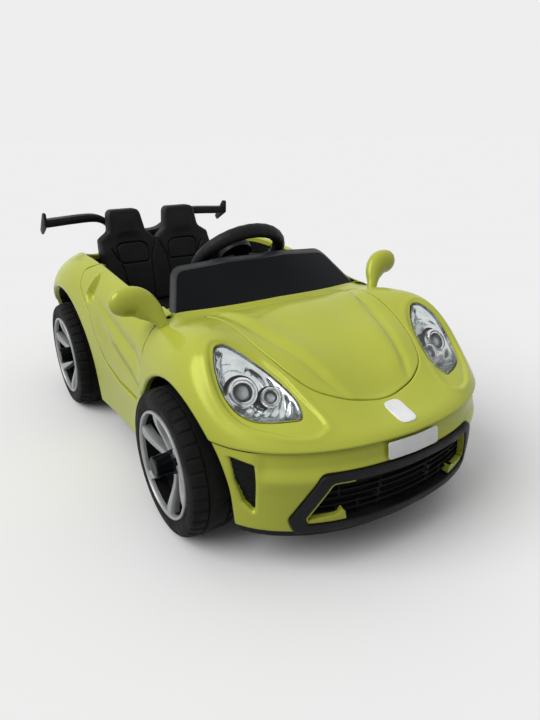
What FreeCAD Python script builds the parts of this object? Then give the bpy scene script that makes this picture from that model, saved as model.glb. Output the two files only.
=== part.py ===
import FreeCAD, Part
import math
import os
import re

# Child's battery ride-on car, millimetres.
# Origin on the ground under the middle of the car, +Z up, front towards -Y,
# the car's left side towards +X.

V = FreeCAD.Vector
doc = FreeCAD.newDocument("ride_on_car")
sheet = doc.addObject("Spreadsheet::Sheet", "Sizes")

SIZES = [
    ("half_width", 254, "half width of the body at the front axle"),
    ("deck_height", 336, "height of the rear deck"),
    ("front_axle_y", -266.4, "front axle from the origin"),
    ("front_overhang", 232, "nose to front axle"),
    ("wheelbase", 532, "front axle to rear axle"),
    ("rear_overhang", 223, "rear axle to tail"),
    ("skin", 4, "moulded wall"),
    ("panel_gap", 1, "seam round a fitted panel"),
    ("door_gap", 3, "gap round a door"),
    ("run_fit", 0.05, "radial clearance of a turning fit"),
    ("slack", 0.5, "clearance beside a moving face"),
    ("floor_low", 60, "underside of the floor pan"),
    ("floor_thick", 8, "thickness of the floor pan"),
    ("side_depth", 50, "outer waist to cockpit wall"),
    ("lip_height", 191, "lower edge of the nose lip"),
    ("tail_lip", 206, "lower edge of the tail panel"),
    ("bumper_inset", 3, "bumper face behind the body face"),
    ("tyre_radius", 112, "outer radius of a tyre"),
    ("tyre_width", 75, "width of a tyre"),
    ("tyre_wall", 6, "wall of the hollow tyre"),
    ("wheel_inset", 21.5, "body half width to wheel middle plane"),
    ("rim_radius", 80, "seat of the tyre on the rim"),
    ("rim_wall", 5, "wall of the rim barrel"),
    ("rim_proud", 6, "rim face beyond the tyre side"),
    ("spoke_depth", 12, "thickness of the spoked face"),
    ("hub_radius", 17, "wheel hub"),
    ("cap_radius", 16, "hub cap"),
    ("cap_depth", 7, "hub cap height"),
    ("axle_radius", 6, "wheel axle"),
    ("front_gap", 16, "front tyre to wheel well"),
    ("rear_gap", 38, "rear tyre to wheel well"),
    ("steer_room", 45, "front tyre to inner wall of its well"),
    ("well_side", 11, "rear tyre to inner wall of its well"),
    ("kingpin_inset", 32.5, "wheel middle plane to kingpin"),
    ("kingpin_radius", 5, "kingpin"),
    ("sleeve_radius", 11, "knuckle sleeve"),
    ("sleeve_half", 26, "half height of the knuckle sleeve"),
    ("arm_length", 40, "steering arm, kingpin to tie rod"),
    ("crank_length", 20, "crank on the steering column"),
    ("crank_ball", 5, "ball on the crank"),
    ("arm_pin", 4, "pin between steering arm and tie rod"),
    ("tie_thick", 6, "tie rod height"),
    ("tie_width", 16, "tie rod width"),
    ("beam_width", 30, "front beam, fore and aft"),
    ("beam_plate", 6, "front beam lower plate"),
    ("beam_bar", 8, "front beam upper bar"),
    ("wheel_y", -31.4, "steering wheel centre"),
    ("wheel_z", 344, "steering wheel centre height"),
    ("rim_ring", 82, "steering wheel ring radius"),
    ("rim_grip", 13, "steering wheel grip radius"),
    ("column_radius", 7, "steering column"),
    ("horn_radius", 8, "horn button"),
    ("horn_travel", 1.5, "horn button travel"),
    ("seat_height", 184, "top of the seat base"),
    ("seat_front", 177, "rear axle to front of the seat base"),
    ("seat_back_y", 63, "rear axle to foot of the back rest"),
    ("back_thick", 24, "back rest thickness"),
    ("back_top", 398, "top of the head rests"),
    ("back_lean", 52, "lean of the back rest from foot to top"),
    ("back_step", 1.5, "step in the seat base that the back rest stands in"),
    ("seat_side", 4, "seat base to wheel well"),
    ("pedal_width", 60, "foot pedal"),
    ("pedal_length", 76, "foot pedal"),
    ("pedal_x", -75, "foot pedal centre"),
    ("pedal_pin", 3, "foot pedal pivot"),
    ("button_radius", 8, "power button"),
    ("button_travel", 2, "power button travel"),
    ("hinge_x", 24, "body half width to door hinge"),
    ("hinge_y", 82, "front axle to door hinge"),
    ("hinge_low", 232, "underside of the door hinge lug"),
    ("hinge_tall", 22, "height of the door hinge lug"),
    ("hinge_pin", 3.5, "door hinge pin"),
    ("hinge_boss", 6.5, "door hinge boss"),
    ("spoiler_chord", 46, "spoiler, fore and aft"),
    ("screw_head", 6, "floor screw head radius"),
]

for row, (name, size, note) in enumerate(SIZES, 1):
    sheet.set("A%d" % row, note)
    sheet.set("B%d" % row, str(size))
    sheet.setAlias("B%d" % row, name)
doc.recompute()


class Values:
    pass


S = Values()
for name, size, note in SIZES:
    setattr(S, name, float(sheet.get(name)))

WORD = re.compile(r"\b(" + "|".join(name for name, size, note in SIZES) + r")\b")


def bound(text):
    return WORD.sub(r"Sizes.\1", str(text))


def bind(obj, props):
    for prop, text in props.items():
        obj.setExpression(prop, bound(text))


# derived places, as text for the bound sizes
TRACK = "(half_width - wheel_inset)"
HUB = "tyre_radius"
REAR_AXLE = "(front_axle_y + wheelbase)"
FLOOR = "(floor_low + floor_thick)"
TYRE_IN = "(half_width - wheel_inset - tyre_width / 2)"
WELL_F = "(half_width - wheel_inset - tyre_width / 2 - steer_room)"
WELL_R = "(half_width - wheel_inset - tyre_width / 2 - well_side)"
KING = "(half_width - wheel_inset - kingpin_inset)"
TIE_Y = "(front_axle_y + arm_length)"
TIE_Z = "(front_axle_y + arm_length - wheel_y + wheel_z - crank_length * 1.41421356)"
COCKPIT = "(half_width - side_depth)"
SEAT_HALF = "(half_width - wheel_inset - tyre_width / 2 - well_side - skin - seat_side)"

# landmarks of the lines drawing and the stretch to the sheet's sizes
NOSE = -492.0
FRONT = -260.0
REAR = 272.0
TAIL = 495.0
HALF = 254.0
TOP = 336.0


def sx(x):
    return x * S.half_width / HALF


def sy(y):
    rear = S.front_axle_y + S.wheelbase
    if y < FRONT:
        return S.front_axle_y + (y - FRONT) * S.front_overhang / (FRONT - NOSE)
    if y > REAR:
        return rear + (y - REAR) * S.rear_overhang / (TAIL - REAR)
    return S.front_axle_y + (y - FRONT) * S.wheelbase / (REAR - FRONT)


def sz(z):
    return z * S.deck_height / TOP


# lines of the half body: waist, shoulder, crest, inner, centre, from nose to tail
DRAWN = [
    ((0, -492, 192), (0, -485, 201), (0, -463, 209), (0, -442, 216), (0, -424, 222)),
    ((105, -478, 192), (99, -471, 201), (84, -456, 210), (58, -434, 220), (0, -416, 227)),
    ((186, -440, 191), (177, -433, 207), (150, -414, 222), (102, -394, 243), (0, -386, 247)),
    ((232, -388, 190), (225, -380, 217), (190, -362, 241), (128, -342, 269), (0, -338, 269)),
    ((249, -332, 190), (243, -328, 246), (208, -314, 287), (138, -292, 288), (0, -290, 286)),
    ((254, -260, 190), (247, -258, 259), (207, -250, 302), (146, -240, 301), (0, -238, 299)),
    ((250, -150, 186), (242, -150, 254), (206, -150, 294), (152, -149, 303), (0, -148, 308)),
    ((246, -30, 186), (240, -30, 262), (208, -30, 309), (150, -30, 316), (0, -30, 320)),
    ((249, 90, 190), (243, 90, 268), (208, 90, 321), (150, 90, 328), (0, 90, 332)),
    ((258, 180, 200), (250, 180, 274), (207, 180, 329), (145, 180, 334), (0, 180, 336)),
    ((267, 272, 212), (257, 271, 280), (204, 268, 329), (140, 266, 335), (0, 265, 336)),
    ((258, 372, 214), (244, 366, 272), (192, 352, 314), (125, 340, 325), (0, 337, 329)),
    ((214, 442, 214), (202, 433, 260), (156, 408, 298), (98, 390, 311), (0, 383, 316)),
    ((118, 482, 214), (110, 473, 255), (84, 447, 288), (50, 424, 302), (0, 412, 308)),
    ((0, 495, 214), (0, 486, 253), (0, 460, 285), (0, 438, 297), (0, 420, 304)),
]
BOTTOM = 22.0
TUCK = 11.0
WAIST_TUCK = 4.0
WAIST_LOW = 105.0
RAIL_STEPS = (1, 2, 3, 4, 3, 4)
STATION_STEPS = 3


def spline(knots, values):
    n = len(knots)
    gaps = [knots[i + 1] - knots[i] for i in range(n - 1)]
    slope = [(values[i + 1] - values[i]) / gaps[i] for i in range(n - 1)]
    lower = [0.0] * n
    diag = [1.0] * n
    upper = [0.0] * n
    right = [0.0] * n
    for i in range(1, n - 1):
        lower[i] = gaps[i - 1]
        diag[i] = 2 * (gaps[i - 1] + gaps[i])
        upper[i] = gaps[i]
        right[i] = 6 * (slope[i] - slope[i - 1])
    for i in range(1, n):
        f = lower[i] / diag[i - 1]
        diag[i] -= f * upper[i - 1]
        right[i] -= f * right[i - 1]
    bend = [0.0] * n
    bend[-1] = right[-1] / diag[-1]
    for i in range(n - 2, -1, -1):
        bend[i] = (right[i] - upper[i] * bend[i + 1]) / diag[i]

    def value(x):
        i = 0
        while i < n - 2 and x > knots[i + 1]:
            i += 1
        a = (knots[i + 1] - x) / gaps[i]
        b = 1 - a
        curve = (a ** 3 - a) * bend[i] + (b ** 3 - b) * bend[i + 1]
        return a * values[i] + b * values[i + 1] + curve * gaps[i] ** 2 / 6

    return value


def rails():
    rows = []
    for drawn in DRAWN:
        st = tuple((sx(p[0]), sy(p[1]), sz(p[2])) for p in drawn)
        w = st[0]
        q = st[-1]
        d = math.hypot(q[0] - w[0], q[1] - w[1])
        k = TUCK / d
        low = (w[0] + (q[0] - w[0]) * k, w[1] + (q[1] - w[1]) * k, sz(BOTTOM))
        k = WAIST_TUCK / d
        mid = (w[0] + (q[0] - w[0]) * k, w[1] + (q[1] - w[1]) * k, sz(WAIST_LOW))
        rows.append((low, mid) + st)
    return rows


def flipped(st):
    return tuple((-p[0], p[1], p[2]) for p in st)


def body_splines():
    rows = rails()
    rows = [flipped(rows[i]) for i in (3, 2, 1)] + rows + [flipped(rows[-1 - i]) for i in (1, 2, 3)]
    waist = [st[2] for st in rows]
    s = [0.0]
    for a, b in zip(waist, waist[1:]):
        s.append(s[-1] + math.dist(a, b))
    s = [v - s[3] for v in s]
    count = len(rows[0])
    fn = [[spline(s, [st[r][c] for st in rows]) for c in range(3)] for r in range(count)]
    return s[3:-3], fn, count


KNOTS, RAILS, RAIL_COUNT = body_splines()


def section(sv):
    pts = [tuple(RAILS[r][c](sv) for c in range(3)) for r in range(RAIL_COUNT)]
    full = pts + [(-p[0], p[1], p[2]) for p in pts[-2::-1]]
    t = [0.0]
    for a, b in zip(full, full[1:]):
        t.append(t[-1] + max(math.dist(a, b), 1e-3))
    return t, [spline(t, [p[c] for p in full]) for c in range(3)]


def on_section(sec, i, u):
    t, f = sec
    tv = t[i] + u * (t[i + 1] - t[i])
    return V(f[0](tv), f[1](tv), f[2](tv)), V(*[f[c](tv + 0.5) - f[c](tv - 0.5) for c in range(3)])


def surface_points():
    places = []
    for i, n in enumerate(RAIL_STEPS):
        places += [(i, k / n) for k in range(n)]
    places.append((len(RAIL_STEPS) - 1, 1.0))
    stations = []
    for a, b in zip(KNOTS, KNOTS[1:]):
        stations += [a + (b - a) * k / STATION_STEPS for k in range(STATION_STEPS)]
    stations.append(KNOTS[-1])
    rows = []
    for sv in stations:
        here = section(sv)
        ahead = section(sv + 0.5)
        behind = section(sv - 0.5)
        row = []
        for i, u in places:
            p, along = on_section(here, i, u)
            across = on_section(ahead, i, u)[0] - on_section(behind, i, u)[0]
            n = along.cross(across)
            if n.Length < 1e-9:
                n = V(0, 0, -1)
            n.normalize()
            row.append((p, n))
        rows.append(row)
    return rows


POINTS = surface_points()


def clamped(count):
    inner = count - 4
    return [4] + [1] * inner + [4], [float(i) for i in range(inner + 2)]


def body_solid(inset):
    grid = []
    for row in POINTS:
        line = [p + n * inset for p, n in row]
        line[0].z = sz(BOTTOM)
        grid.append([V(line[0].x, line[0].y, sz(BOTTOM) - 20)] + line)
    for q in grid[0] + grid[-1]:
        q.x = 0
    for line in grid:
        line[-1].x = 0
    um, uk = clamped(len(grid))
    vm, vk = clamped(len(grid[0]))
    faces = []
    lows = []
    for side in (1, -1):
        surf = Part.BSplineSurface()
        poles = [[V(side * p.x, p.y, p.z) for p in line] for line in grid]
        surf.buildFromPolesMultsKnots(poles, um, vm, uk, vk, False, False, 3, 3)
        face = surf.toShape()
        faces.append(face)
        lows.append(min(face.Edges, key=lambda e: e.BoundBox.ZMax))
    bottom = Part.Face(Part.Wire(Part.__sortEdges__(lows)))
    shell = Part.makeShell(faces + [bottom])
    shell.sewShape()
    return Part.Solid(shell)


HULLS = {}


# the body's outer form moved inwards by inset
def hull(inset):
    key = round(inset, 4)
    if key not in HULLS:
        obj = doc.addObject("Part::Feature", "Hull")
        obj.Shape = body_solid(inset)
        HULLS[key] = obj
    return HULLS[key]


NODES = []


def node(obj, label):
    obj.Label = label
    NODES.append((label, obj))
    return obj


def box(x0, x1, y0, y1, z0, z1, name="Box"):
    obj = doc.addObject("Part::Box", name)
    bind(obj, {
        "Length": "(%s) - (%s)" % (x1, x0),
        "Width": "(%s) - (%s)" % (y1, y0),
        "Height": "(%s) - (%s)" % (z1, z0),
        "Placement.Base.x": x0,
        "Placement.Base.y": y0,
        "Placement.Base.z": z0,
    })
    return obj


def pin(radius, length, x, y, z, axis=(0, 0, 1), name="Pin"):
    obj = doc.addObject("Part::Cylinder", name)
    obj.Placement = FreeCAD.Placement(V(0, 0, 0), FreeCAD.Rotation(V(0, 0, 1), V(*axis)))
    bind(obj, {
        "Radius": radius,
        "Height": length,
        "Placement.Base.x": x,
        "Placement.Base.y": y,
        "Placement.Base.z": z,
    })
    return obj


def fuse(*parts):
    obj = doc.addObject("Part::MultiFuse", "Fuse")
    obj.Shapes = list(parts)
    return obj


def cut(base, *tools):
    obj = doc.addObject("Part::Cut", "Cut")
    obj.Base = base
    obj.Tool = tools[0] if len(tools) == 1 else fuse(*tools)
    return obj


def common(*parts):
    obj = doc.addObject("Part::MultiCommon", "Common")
    obj.Shapes = list(parts)
    return obj


def mirror(part):
    obj = doc.addObject("Part::Mirroring", "Mirror")
    obj.Source = part
    obj.Normal = V(1, 0, 0)
    obj.Base = V(0, 0, 0)
    return obj


def both(part):
    return fuse(part, mirror(part))


# closed outline of lines with rounded corners, points as (u, v, corner radius)
def rounded(points):
    n = len(points)
    ends = []
    for i in range(n):
        p = V(points[i][0], points[i][1], 0)
        r = points[i][2] if len(points[i]) > 2 else 0
        a = V(points[i - 1][0], points[i - 1][1], 0) - p
        b = V(points[(i + 1) % n][0], points[(i + 1) % n][1], 0) - p
        a.normalize()
        b.normalize()
        half = a.getAngle(b) / 2
        if r <= 0 or half > math.pi / 2 - 0.01:
            ends.append((p, None, p))
            continue
        middle = a + b
        middle.normalize()
        centre = p + middle * (r / math.sin(half))
        reach = r / math.tan(half)
        ends.append((p + a * reach, centre - middle * r, p + b * reach))
    out = []
    for i in range(n):
        start, mid, end = ends[i]
        if mid is not None:
            out.append(Part.Arc(start, mid, end))
        after = ends[(i + 1) % n][0]
        if (after - end).Length > 1e-6:
            out.append(Part.LineSegment(end, after))
    return out


# outline moved outwards by d
def grown(points, d):
    n = len(points)
    area = sum(points[i - 1][0] * points[i][1] - points[i][0] * points[i - 1][1] for i in range(n))
    turn = 1 if area > 0 else -1
    out = []
    for i in range(n):
        p = points[i]
        a = points[i - 1]
        b = points[(i + 1) % n]
        e = V(p[0] - a[0], p[1] - a[1], 0)
        f = V(b[0] - p[0], b[1] - p[1], 0)
        e.normalize()
        f.normalize()
        ne = V(e.y, -e.x, 0) * turn
        nf = V(f.y, -f.x, 0) * turn
        k = d / (1 + ne.dot(nf))
        shift = (ne + nf) * k
        bulge = (e.x * f.y - e.y * f.x) * turn
        r = p[2] if len(p) > 2 else 0
        if r > 0:
            r = max(0.3, r + d if bulge > 0 else r - d)
        out.append((p[0] + shift.x, p[1] + shift.y, r))
    return out


ROTATION = {
    "plan": FreeCAD.Rotation(),
    "side": FreeCAD.Rotation(V(1, 1, 1), 120),
    "front": FreeCAD.Rotation(V(1, 0, 0), 90),
}
OFFSET = {"plan": "Placement.Base.z", "side": "Placement.Base.x", "front": "Placement.Base.y"}


# extruded outline: plan goes up from at, side goes to +X, front goes to -Y
def prism(plane, points, at, length, name="Outline"):
    sk = doc.addObject("Sketcher::SketchObject", name)
    sk.addGeometry(rounded(points), False)
    sk.Placement = FreeCAD.Placement(V(0, 0, 0), ROTATION[plane])
    bind(sk, {OFFSET[plane]: at})
    obj = doc.addObject("Part::Extrusion", "Prism")
    obj.Base = sk
    obj.DirMode = "Normal"
    obj.Solid = True
    bind(obj, {"LengthFwd": length})
    return obj


# layer of the body form between two insets, inside a tool shape
def patch(tool, outer, inner):
    return cut(common(hull(outer), tool), hull(inner))


def place(obj, x, y, z, rotation=None):
    if rotation is not None:
        obj.Placement = FreeCAD.Placement(V(0, 0, 0), rotation)
    bind(obj, {"Placement.Base.x": x, "Placement.Base.y": y, "Placement.Base.z": z})
    return obj


def full(half):
    return half + [(-p[0],) + tuple(p[1:]) for p in reversed(half)]


# drawn outlines, stretched with the body
def plan(points):
    return [(sx(p[0]), sy(p[1])) + tuple(p[2:]) for p in points]


def side(points):
    return [(sy(p[0]), sz(p[1])) + tuple(p[2:]) for p in points]


def front(points):
    return [(sx(p[0]), sz(p[1])) + tuple(p[2:]) for p in points]


COCKPIT_HALF = S.half_width - S.side_depth
cockpit_line = [(p[0], sy(p[1]), p[2]) for p in full([
    (COCKPIT_HALF - 8, -115, 30),
    (COCKPIT_HALF, 20, 60),
    (COCKPIT_HALF, 250, 60),
    (COCKPIT_HALF - 20, 366, 50),
    (COCKPIT_HALF - 66, 418, 50),
])]
door_line = side([
    (-104, 146, 12),
    (-143, 198, 40),
    (-151, 240, 60),
    (-146, 420, 0),
    (150, 420, 0),
    (150, 331, 10),
    (188, 312, 12),
    (176, 286, 16),
    (108, 240, 40),
    (92, 206, 30),
    (52, 162, 30),
    (-14, 144, 60),
])
hood_line = plan(full([
    (12, -431, 10), (60, -419, 20), (98, -397, 25), (118, -360, 40), (133, -310, 40),
    (141, -250, 40), (152, -180, 6), (60, -188, 60),
]))
lamp_line = plan([
    (132, -424, 6), (125, -402, 12), (130, -377, 30), (140, -346, 30), (160, -312, 20),
    (176, -297, 8), (193, -299, 5), (208, -326, 20), (212, -350, 20), (203, -380, 20),
    (192, -398, 10), (174, -408, 20),
])
grille_outer = front(full([(165, 70, 8), (172, 90, 12), (137, 160, 14)]))
grille_inner = front(full([(150, 82, 6), (153, 93, 8), (124, 148, 10)]))
intake_line = front([(229, 176, 3), (210, 172, 3), (208, 104, 3), (219, 116, 6), (226, 142, 10)])

# wheel wells
WELL_FRONT = "(tyre_radius + front_gap)"
WELL_REAR = "(tyre_radius + rear_gap)"


def well(inner, axle, radius, wall):
    r = "(%s + %s)" % (radius, wall)
    inside = "(%s - %s)" % (inner, wall)
    reach = "half_width + 80 - %s" % inside
    drum = pin(r, reach, inside, axle, HUB, (1, 0, 0))
    below = box(inside, "half_width + 80", "%s - %s" % (axle, r), "%s + %s" % (axle, r), -60, HUB)
    return [drum, below]


flare_line = side([(-186, 206, 0), (-142, 176, 30), (-124, 140, 30), (-121, 20, 0), (-186, 20, 0)])


def flare(wall):
    pts = grown(flare_line, wall) if wall else flare_line
    return prism("side", pts, "%s + 14" % TYRE_IN, "half_width")


front_well = fuse(*well(WELL_F, "front_axle_y", WELL_FRONT, "0"), flare(0))
front_well_wall = fuse(*well(WELL_F, "front_axle_y", WELL_FRONT, "skin"), flare(S.skin))
rear_well = fuse(*well(WELL_R, REAR_AXLE, WELL_REAR, "0"))
rear_well_wall = fuse(*well(WELL_R, REAR_AXLE, WELL_REAR, "skin"))
wells = fuse(front_well, mirror(front_well), rear_well, mirror(rear_well))
well_walls = fuse(front_well_wall, mirror(front_well_wall), rear_well_wall, mirror(rear_well_wall))

# cockpit and door openings
cockpit = prism("plan", cockpit_line, FLOOR, 500)
cockpit_wall = prism("plan", grown(cockpit_line, S.skin), FLOOR, 500)
cockpit_open = cut(cockpit, rear_well_wall, mirror(rear_well_wall))
door_open = prism("side", door_line, "%s - 2" % COCKPIT, 120)
door_jamb = prism("side", grown(door_line, S.skin), "%s - 2 - skin" % COCKPIT, 120)

# hollow body: skin, cockpit wall, wheel wells and door jambs standing on the floor
above_floor = box(-900, 900, -900, 900, FLOOR, 900)
inner_walls = common(fuse(cockpit_wall, door_jamb, mirror(door_jamb), well_walls), above_floor)
core = cut(hull(S.skin), inner_walls)
below_floor = box(-900, 900, -900, 900, -100, "floor_low")
shell = cut(hull(0), core)

# door hinge ears and the room for the lug behind the front wing
HINGE_X = "(half_width - hinge_x)"
HINGE_Y = "(front_axle_y + hinge_y)"
HINGE_TOP = "(hinge_low + hinge_tall)"
ear_low = box("%s - hinge_boss" % HINGE_X, "half_width", "%s - hinge_boss" % HINGE_Y, sy(-153),
              "hinge_low - 8", "hinge_low - slack")
ear_high = box("%s - hinge_boss" % HINGE_X, "half_width", "%s - hinge_boss" % HINGE_Y, sy(-153),
               "%s + slack" % HINGE_TOP, "%s + 8" % HINGE_TOP)
ears = cut(common(hull(0), fuse(ear_low, ear_high)),
           pin("hinge_pin + run_fit", "hinge_tall + 40", HINGE_X, HINGE_Y, "hinge_low - 20"))
lug_room = common(hull(S.skin), box("%s - 2" % COCKPIT, "half_width", "%s - hinge_boss - slack" % HINGE_Y,
                                    sy(-138), "hinge_low - slack", "%s + slack" % HINGE_TOP))

# bumpers under the lip of the nose and under the tail
nose_zone = box(-900, 900, sy(-700), sy(-330), -100, "lip_height")
tail_zone = box(-900, 900, sy(330), sy(700), -100, "tail_lip")
BUMPER_BACK = S.bumper_inset + S.skin
nose_room = patch(nose_zone, -3, BUMPER_BACK)
tail_room = patch(tail_zone, -3, BUMPER_BACK)
hood_prism = prism("plan", hood_line, 100, 400)
HOOD_DEEP = S.skin / 2
hood_room = patch(hood_prism, -2, HOOD_DEEP)
lamp_prism = prism("plan", lamp_line, 100, 400)
lamp_room = patch(lamp_prism, -2, S.skin + 1)

# room for the front beam, the steering links and the rear axle
front_slot = box("-half_width", "half_width", "front_axle_y - beam_width / 2 - 8", "%s + 26" % TIE_Y,
                 FLOOR, "%s + 34" % TIE_Z)
slot_limit = both(box("%s - skin - 1" % WELL_F, "%s + 1" % WELL_F, -900, 900, 0, 900))
front_slots = common(front_slot, slot_limit)
rear_slots = both(pin("axle_radius + slack", "skin + 4", "%s - skin - 2" % WELL_R, REAR_AXLE, HUB, (1, 0, 0)))
AXIS = (0, -0.70710678, -0.70710678)
column_hole = pin("column_radius + run_fit", 340, 0, "wheel_y", "wheel_z", AXIS)

body = cut(shell, below_floor)
body = cut(body, cockpit_open, door_open, mirror(door_open))
body = fuse(body, ears, mirror(ears))
body = cut(body, wells)
body = cut(body, lug_room, mirror(lug_room))
body = cut(body, nose_room, tail_room)
body = cut(body, hood_room)
body = cut(body, lamp_room, mirror(lamp_room))
body = cut(body, front_slots, rear_slots, column_hole)
node(body, "upper_body")

# floor pan with ears for the pedal and posts for the rear axle
PEDAL_Y = "(wheel_y - 5)"
PEDAL_Z = "(floor_low + floor_thick + 12)"
PEDAL_SIDE = "(pedal_width / 2 + slack)"
plate = cut(common(hull(BUMPER_BACK), box(-900, 900, -900, 900, "floor_low", FLOOR)), wells)
pedal_ears = fuse(
    box("pedal_x + %s" % PEDAL_SIDE, "pedal_x + %s + 6" % PEDAL_SIDE, "%s - 9" % PEDAL_Y, "%s + 9" % PEDAL_Y,
        FLOOR, "%s + 9" % PEDAL_Z),
    box("pedal_x - %s - 6" % PEDAL_SIDE, "pedal_x - %s" % PEDAL_SIDE, "%s - 9" % PEDAL_Y, "%s + 9" % PEDAL_Y,
        FLOOR, "%s + 9" % PEDAL_Z))
pedal_bore = pin("pedal_pin + run_fit", "pedal_width + 40", "pedal_x - pedal_width / 2 - 20", PEDAL_Y, PEDAL_Z,
                 (1, 0, 0))
POST = "(half_width - wheel_inset - tyre_width / 2 - well_side - skin - seat_side - 36)"
posts = both(box(POST, "%s + 10" % POST, "%s - 12" % REAR_AXLE, "%s + 12" % REAR_AXLE, FLOOR, "%s + 12" % HUB))
AXLE_END = "(half_width - wheel_inset + tyre_width / 2 + 2)"


def rear_shaft():
    return pin("axle_radius", "2 * %s" % AXLE_END, "-%s" % AXLE_END, REAR_AXLE, HUB, (1, 0, 0))


node(cut(fuse(plate, cut(pedal_ears, pedal_bore), posts), rear_shaft()), "floor_pan")
node(rear_shaft(), "rear_axle")

# bumpers with the openings of the grille and the side intakes
GRILLE_Y = sy(-370)
grille_hole = prism("front", grille_outer, GRILLE_Y, 200)
grille_eye = prism("front", grille_inner, GRILLE_Y, 200)
intake_hole = both(prism("front", intake_line, GRILLE_Y, 200))
nose_face = box(-900, 900, sy(-700), sy(-330), "floor_low", "lip_height - panel_gap")
tail_face = box(-900, 900, sy(330), sy(700), "floor_low", "tail_lip - panel_gap")
bumper = cut(patch(nose_face, S.bumper_inset, BUMPER_BACK), wells)
node(cut(bumper, grille_hole, intake_hole), "front_bumper")
node(cut(patch(tail_face, S.bumper_inset, BUMPER_BACK), wells), "rear_bumper")

# grille: frame, backed mesh of crossed bars, side intake backs
node(patch(cut(grille_hole, grille_eye), -2, S.bumper_inset + 13), "grille_frame")
BAR_STEP = 26.0
BAR_WIDE = 5.0


def slanted(x, turn):
    obj = doc.addObject("Part::Box", "Bar")
    obj.Placement = FreeCAD.Placement(V(0, 0, 0), FreeCAD.Rotation(V(0, 1, 0), turn))
    bind(obj, {"Length": BAR_WIDE, "Width": 200, "Height": 200})
    bind(obj, {"Placement.Base.x": x, "Placement.Base.y": GRILLE_Y - 200, "Placement.Base.z": sz(60)})
    return obj


bars = []
for i in range(-8, 9):
    bars.append(slanted(i * BAR_STEP - sz(54), 45))
    bars.append(slanted(i * BAR_STEP + sz(54), -45))
lattice = patch(common(fuse(*bars), grille_eye), S.bumper_inset + 6, S.bumper_inset + 10)
backing = patch(grille_eye, S.bumper_inset + 10, S.bumper_inset + 13)
node(fuse(lattice, backing), "grille_mesh")
intake_back = both(prism("front", grown(intake_line, 2), GRILLE_Y, 200))
intakes = patch(intake_back, BUMPER_BACK, BUMPER_BACK + 3)
node(cut(intakes, front_well_wall, mirror(front_well_wall)), "side_intakes")

# bare plate and round boss on the nose
plate_line = front([(45, 164, 3), (-45, 164, 3), (-45, 187, 3), (45, 187, 3)])
node(patch(prism("front", plate_line, GRILLE_Y, 200), S.bumper_inset - 2, S.bumper_inset), "number_plate")
node(patch(pin(17, 200, 0, sy(-461), 100), -1.5, 0), "nose_badge")

# hood panel in its recess
hood_tool = prism("plan", grown(hood_line, -S.panel_gap), 100, 400)
node(patch(hood_tool, 0, HOOD_DEEP), "hood")

# headlamps: bucket under the skin, lens in the opening, lamp units inside
LAMP_DEEP = 20.0
lens_tool = prism("plan", grown(lamp_line, -0.4), 100, 400)
bucket_tool = prism("plan", grown(lamp_line, 3), 100, 400)
bucket_room = prism("plan", grown(lamp_line, -3), 100, 400)
lens = patch(lens_tool, 0.8, S.skin)
bucket = cut(patch(bucket_tool, S.skin, LAMP_DEEP), patch(bucket_room, 2, LAMP_DEEP - 3))
lamp_tools = fuse(
    pin(17, 300, sx(183), sy(-356), 100),
    pin(11, 300, sx(152.5), sy(-374), 100),
    pin(7, 300, sx(180), sy(-318), 100))
lamps = patch(lamp_tools, S.skin + 2, LAMP_DEEP - 3)
node(lens, "headlight_lens_left")
node(mirror(lens), "headlight_lens_right")
node(bucket, "headlight_bucket_left")
node(mirror(bucket), "headlight_bucket_right")
node(lamps, "headlight_lamps_left")
node(mirror(lamps), "headlight_lamps_right")

# tail lamps on the tail panel
tail_line = front([(118, 228, 5), (192, 234, 5), (186, 254, 6), (122, 249, 6)])
tail_lamp = patch(prism("front", tail_line, sy(600), 200), -2, 0)
node(both(tail_lamp), "tail_lights")

# windscreen: curved slab standing on the cowl
SCREEN_LOW = 270.0
SCREEN_HIGH = 372.0


def screen_band(z, ahead, behind):
    xc = 190 - 0.597 * (z - 293)
    yc = -143 + 1.113 * (z - 293)
    ym = -165 + 1.17 * (z - 300)
    wide = 1.15
    ye = ym + (yc - ym) * wide ** 2
    xe = sx(xc * wide)
    a = [V(-xe, sy(ye) + ahead, 0), V(0, sy(ym) + ahead, 0), V(xe, sy(ye) + ahead, 0)]
    b = [V(-xe, sy(ye) + behind, 0), V(0, sy(ym) + behind, 0), V(xe, sy(ye) + behind, 0)]
    sk = doc.addObject("Sketcher::SketchObject", "Screen")
    sk.addGeometry([Part.Arc(*a), Part.LineSegment(a[2], b[2]), Part.Arc(b[2], b[1], b[0]),
                    Part.LineSegment(b[0], a[0])], False)
    bind(sk, {"Placement.Base.z": sz(z)})
    return sk


def screen_loft(ahead, behind):
    obj = doc.addObject("Part::Loft", "ScreenLoft")
    obj.Sections = [screen_band(SCREEN_LOW, ahead, behind), screen_band(SCREEN_HIGH, ahead, behind)]
    obj.Solid = True
    obj.Ruled = True
    return obj


SCREEN_THICK = 13.0
screen_line = front(full([(212, 258, 0), (154, 355, 16), (60, 363, 60)]))
screen_face = prism("front", screen_line, 0, 400)
node(cut(common(screen_loft(0, SCREEN_THICK), screen_face), hull(0)), "windshield")

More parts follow.
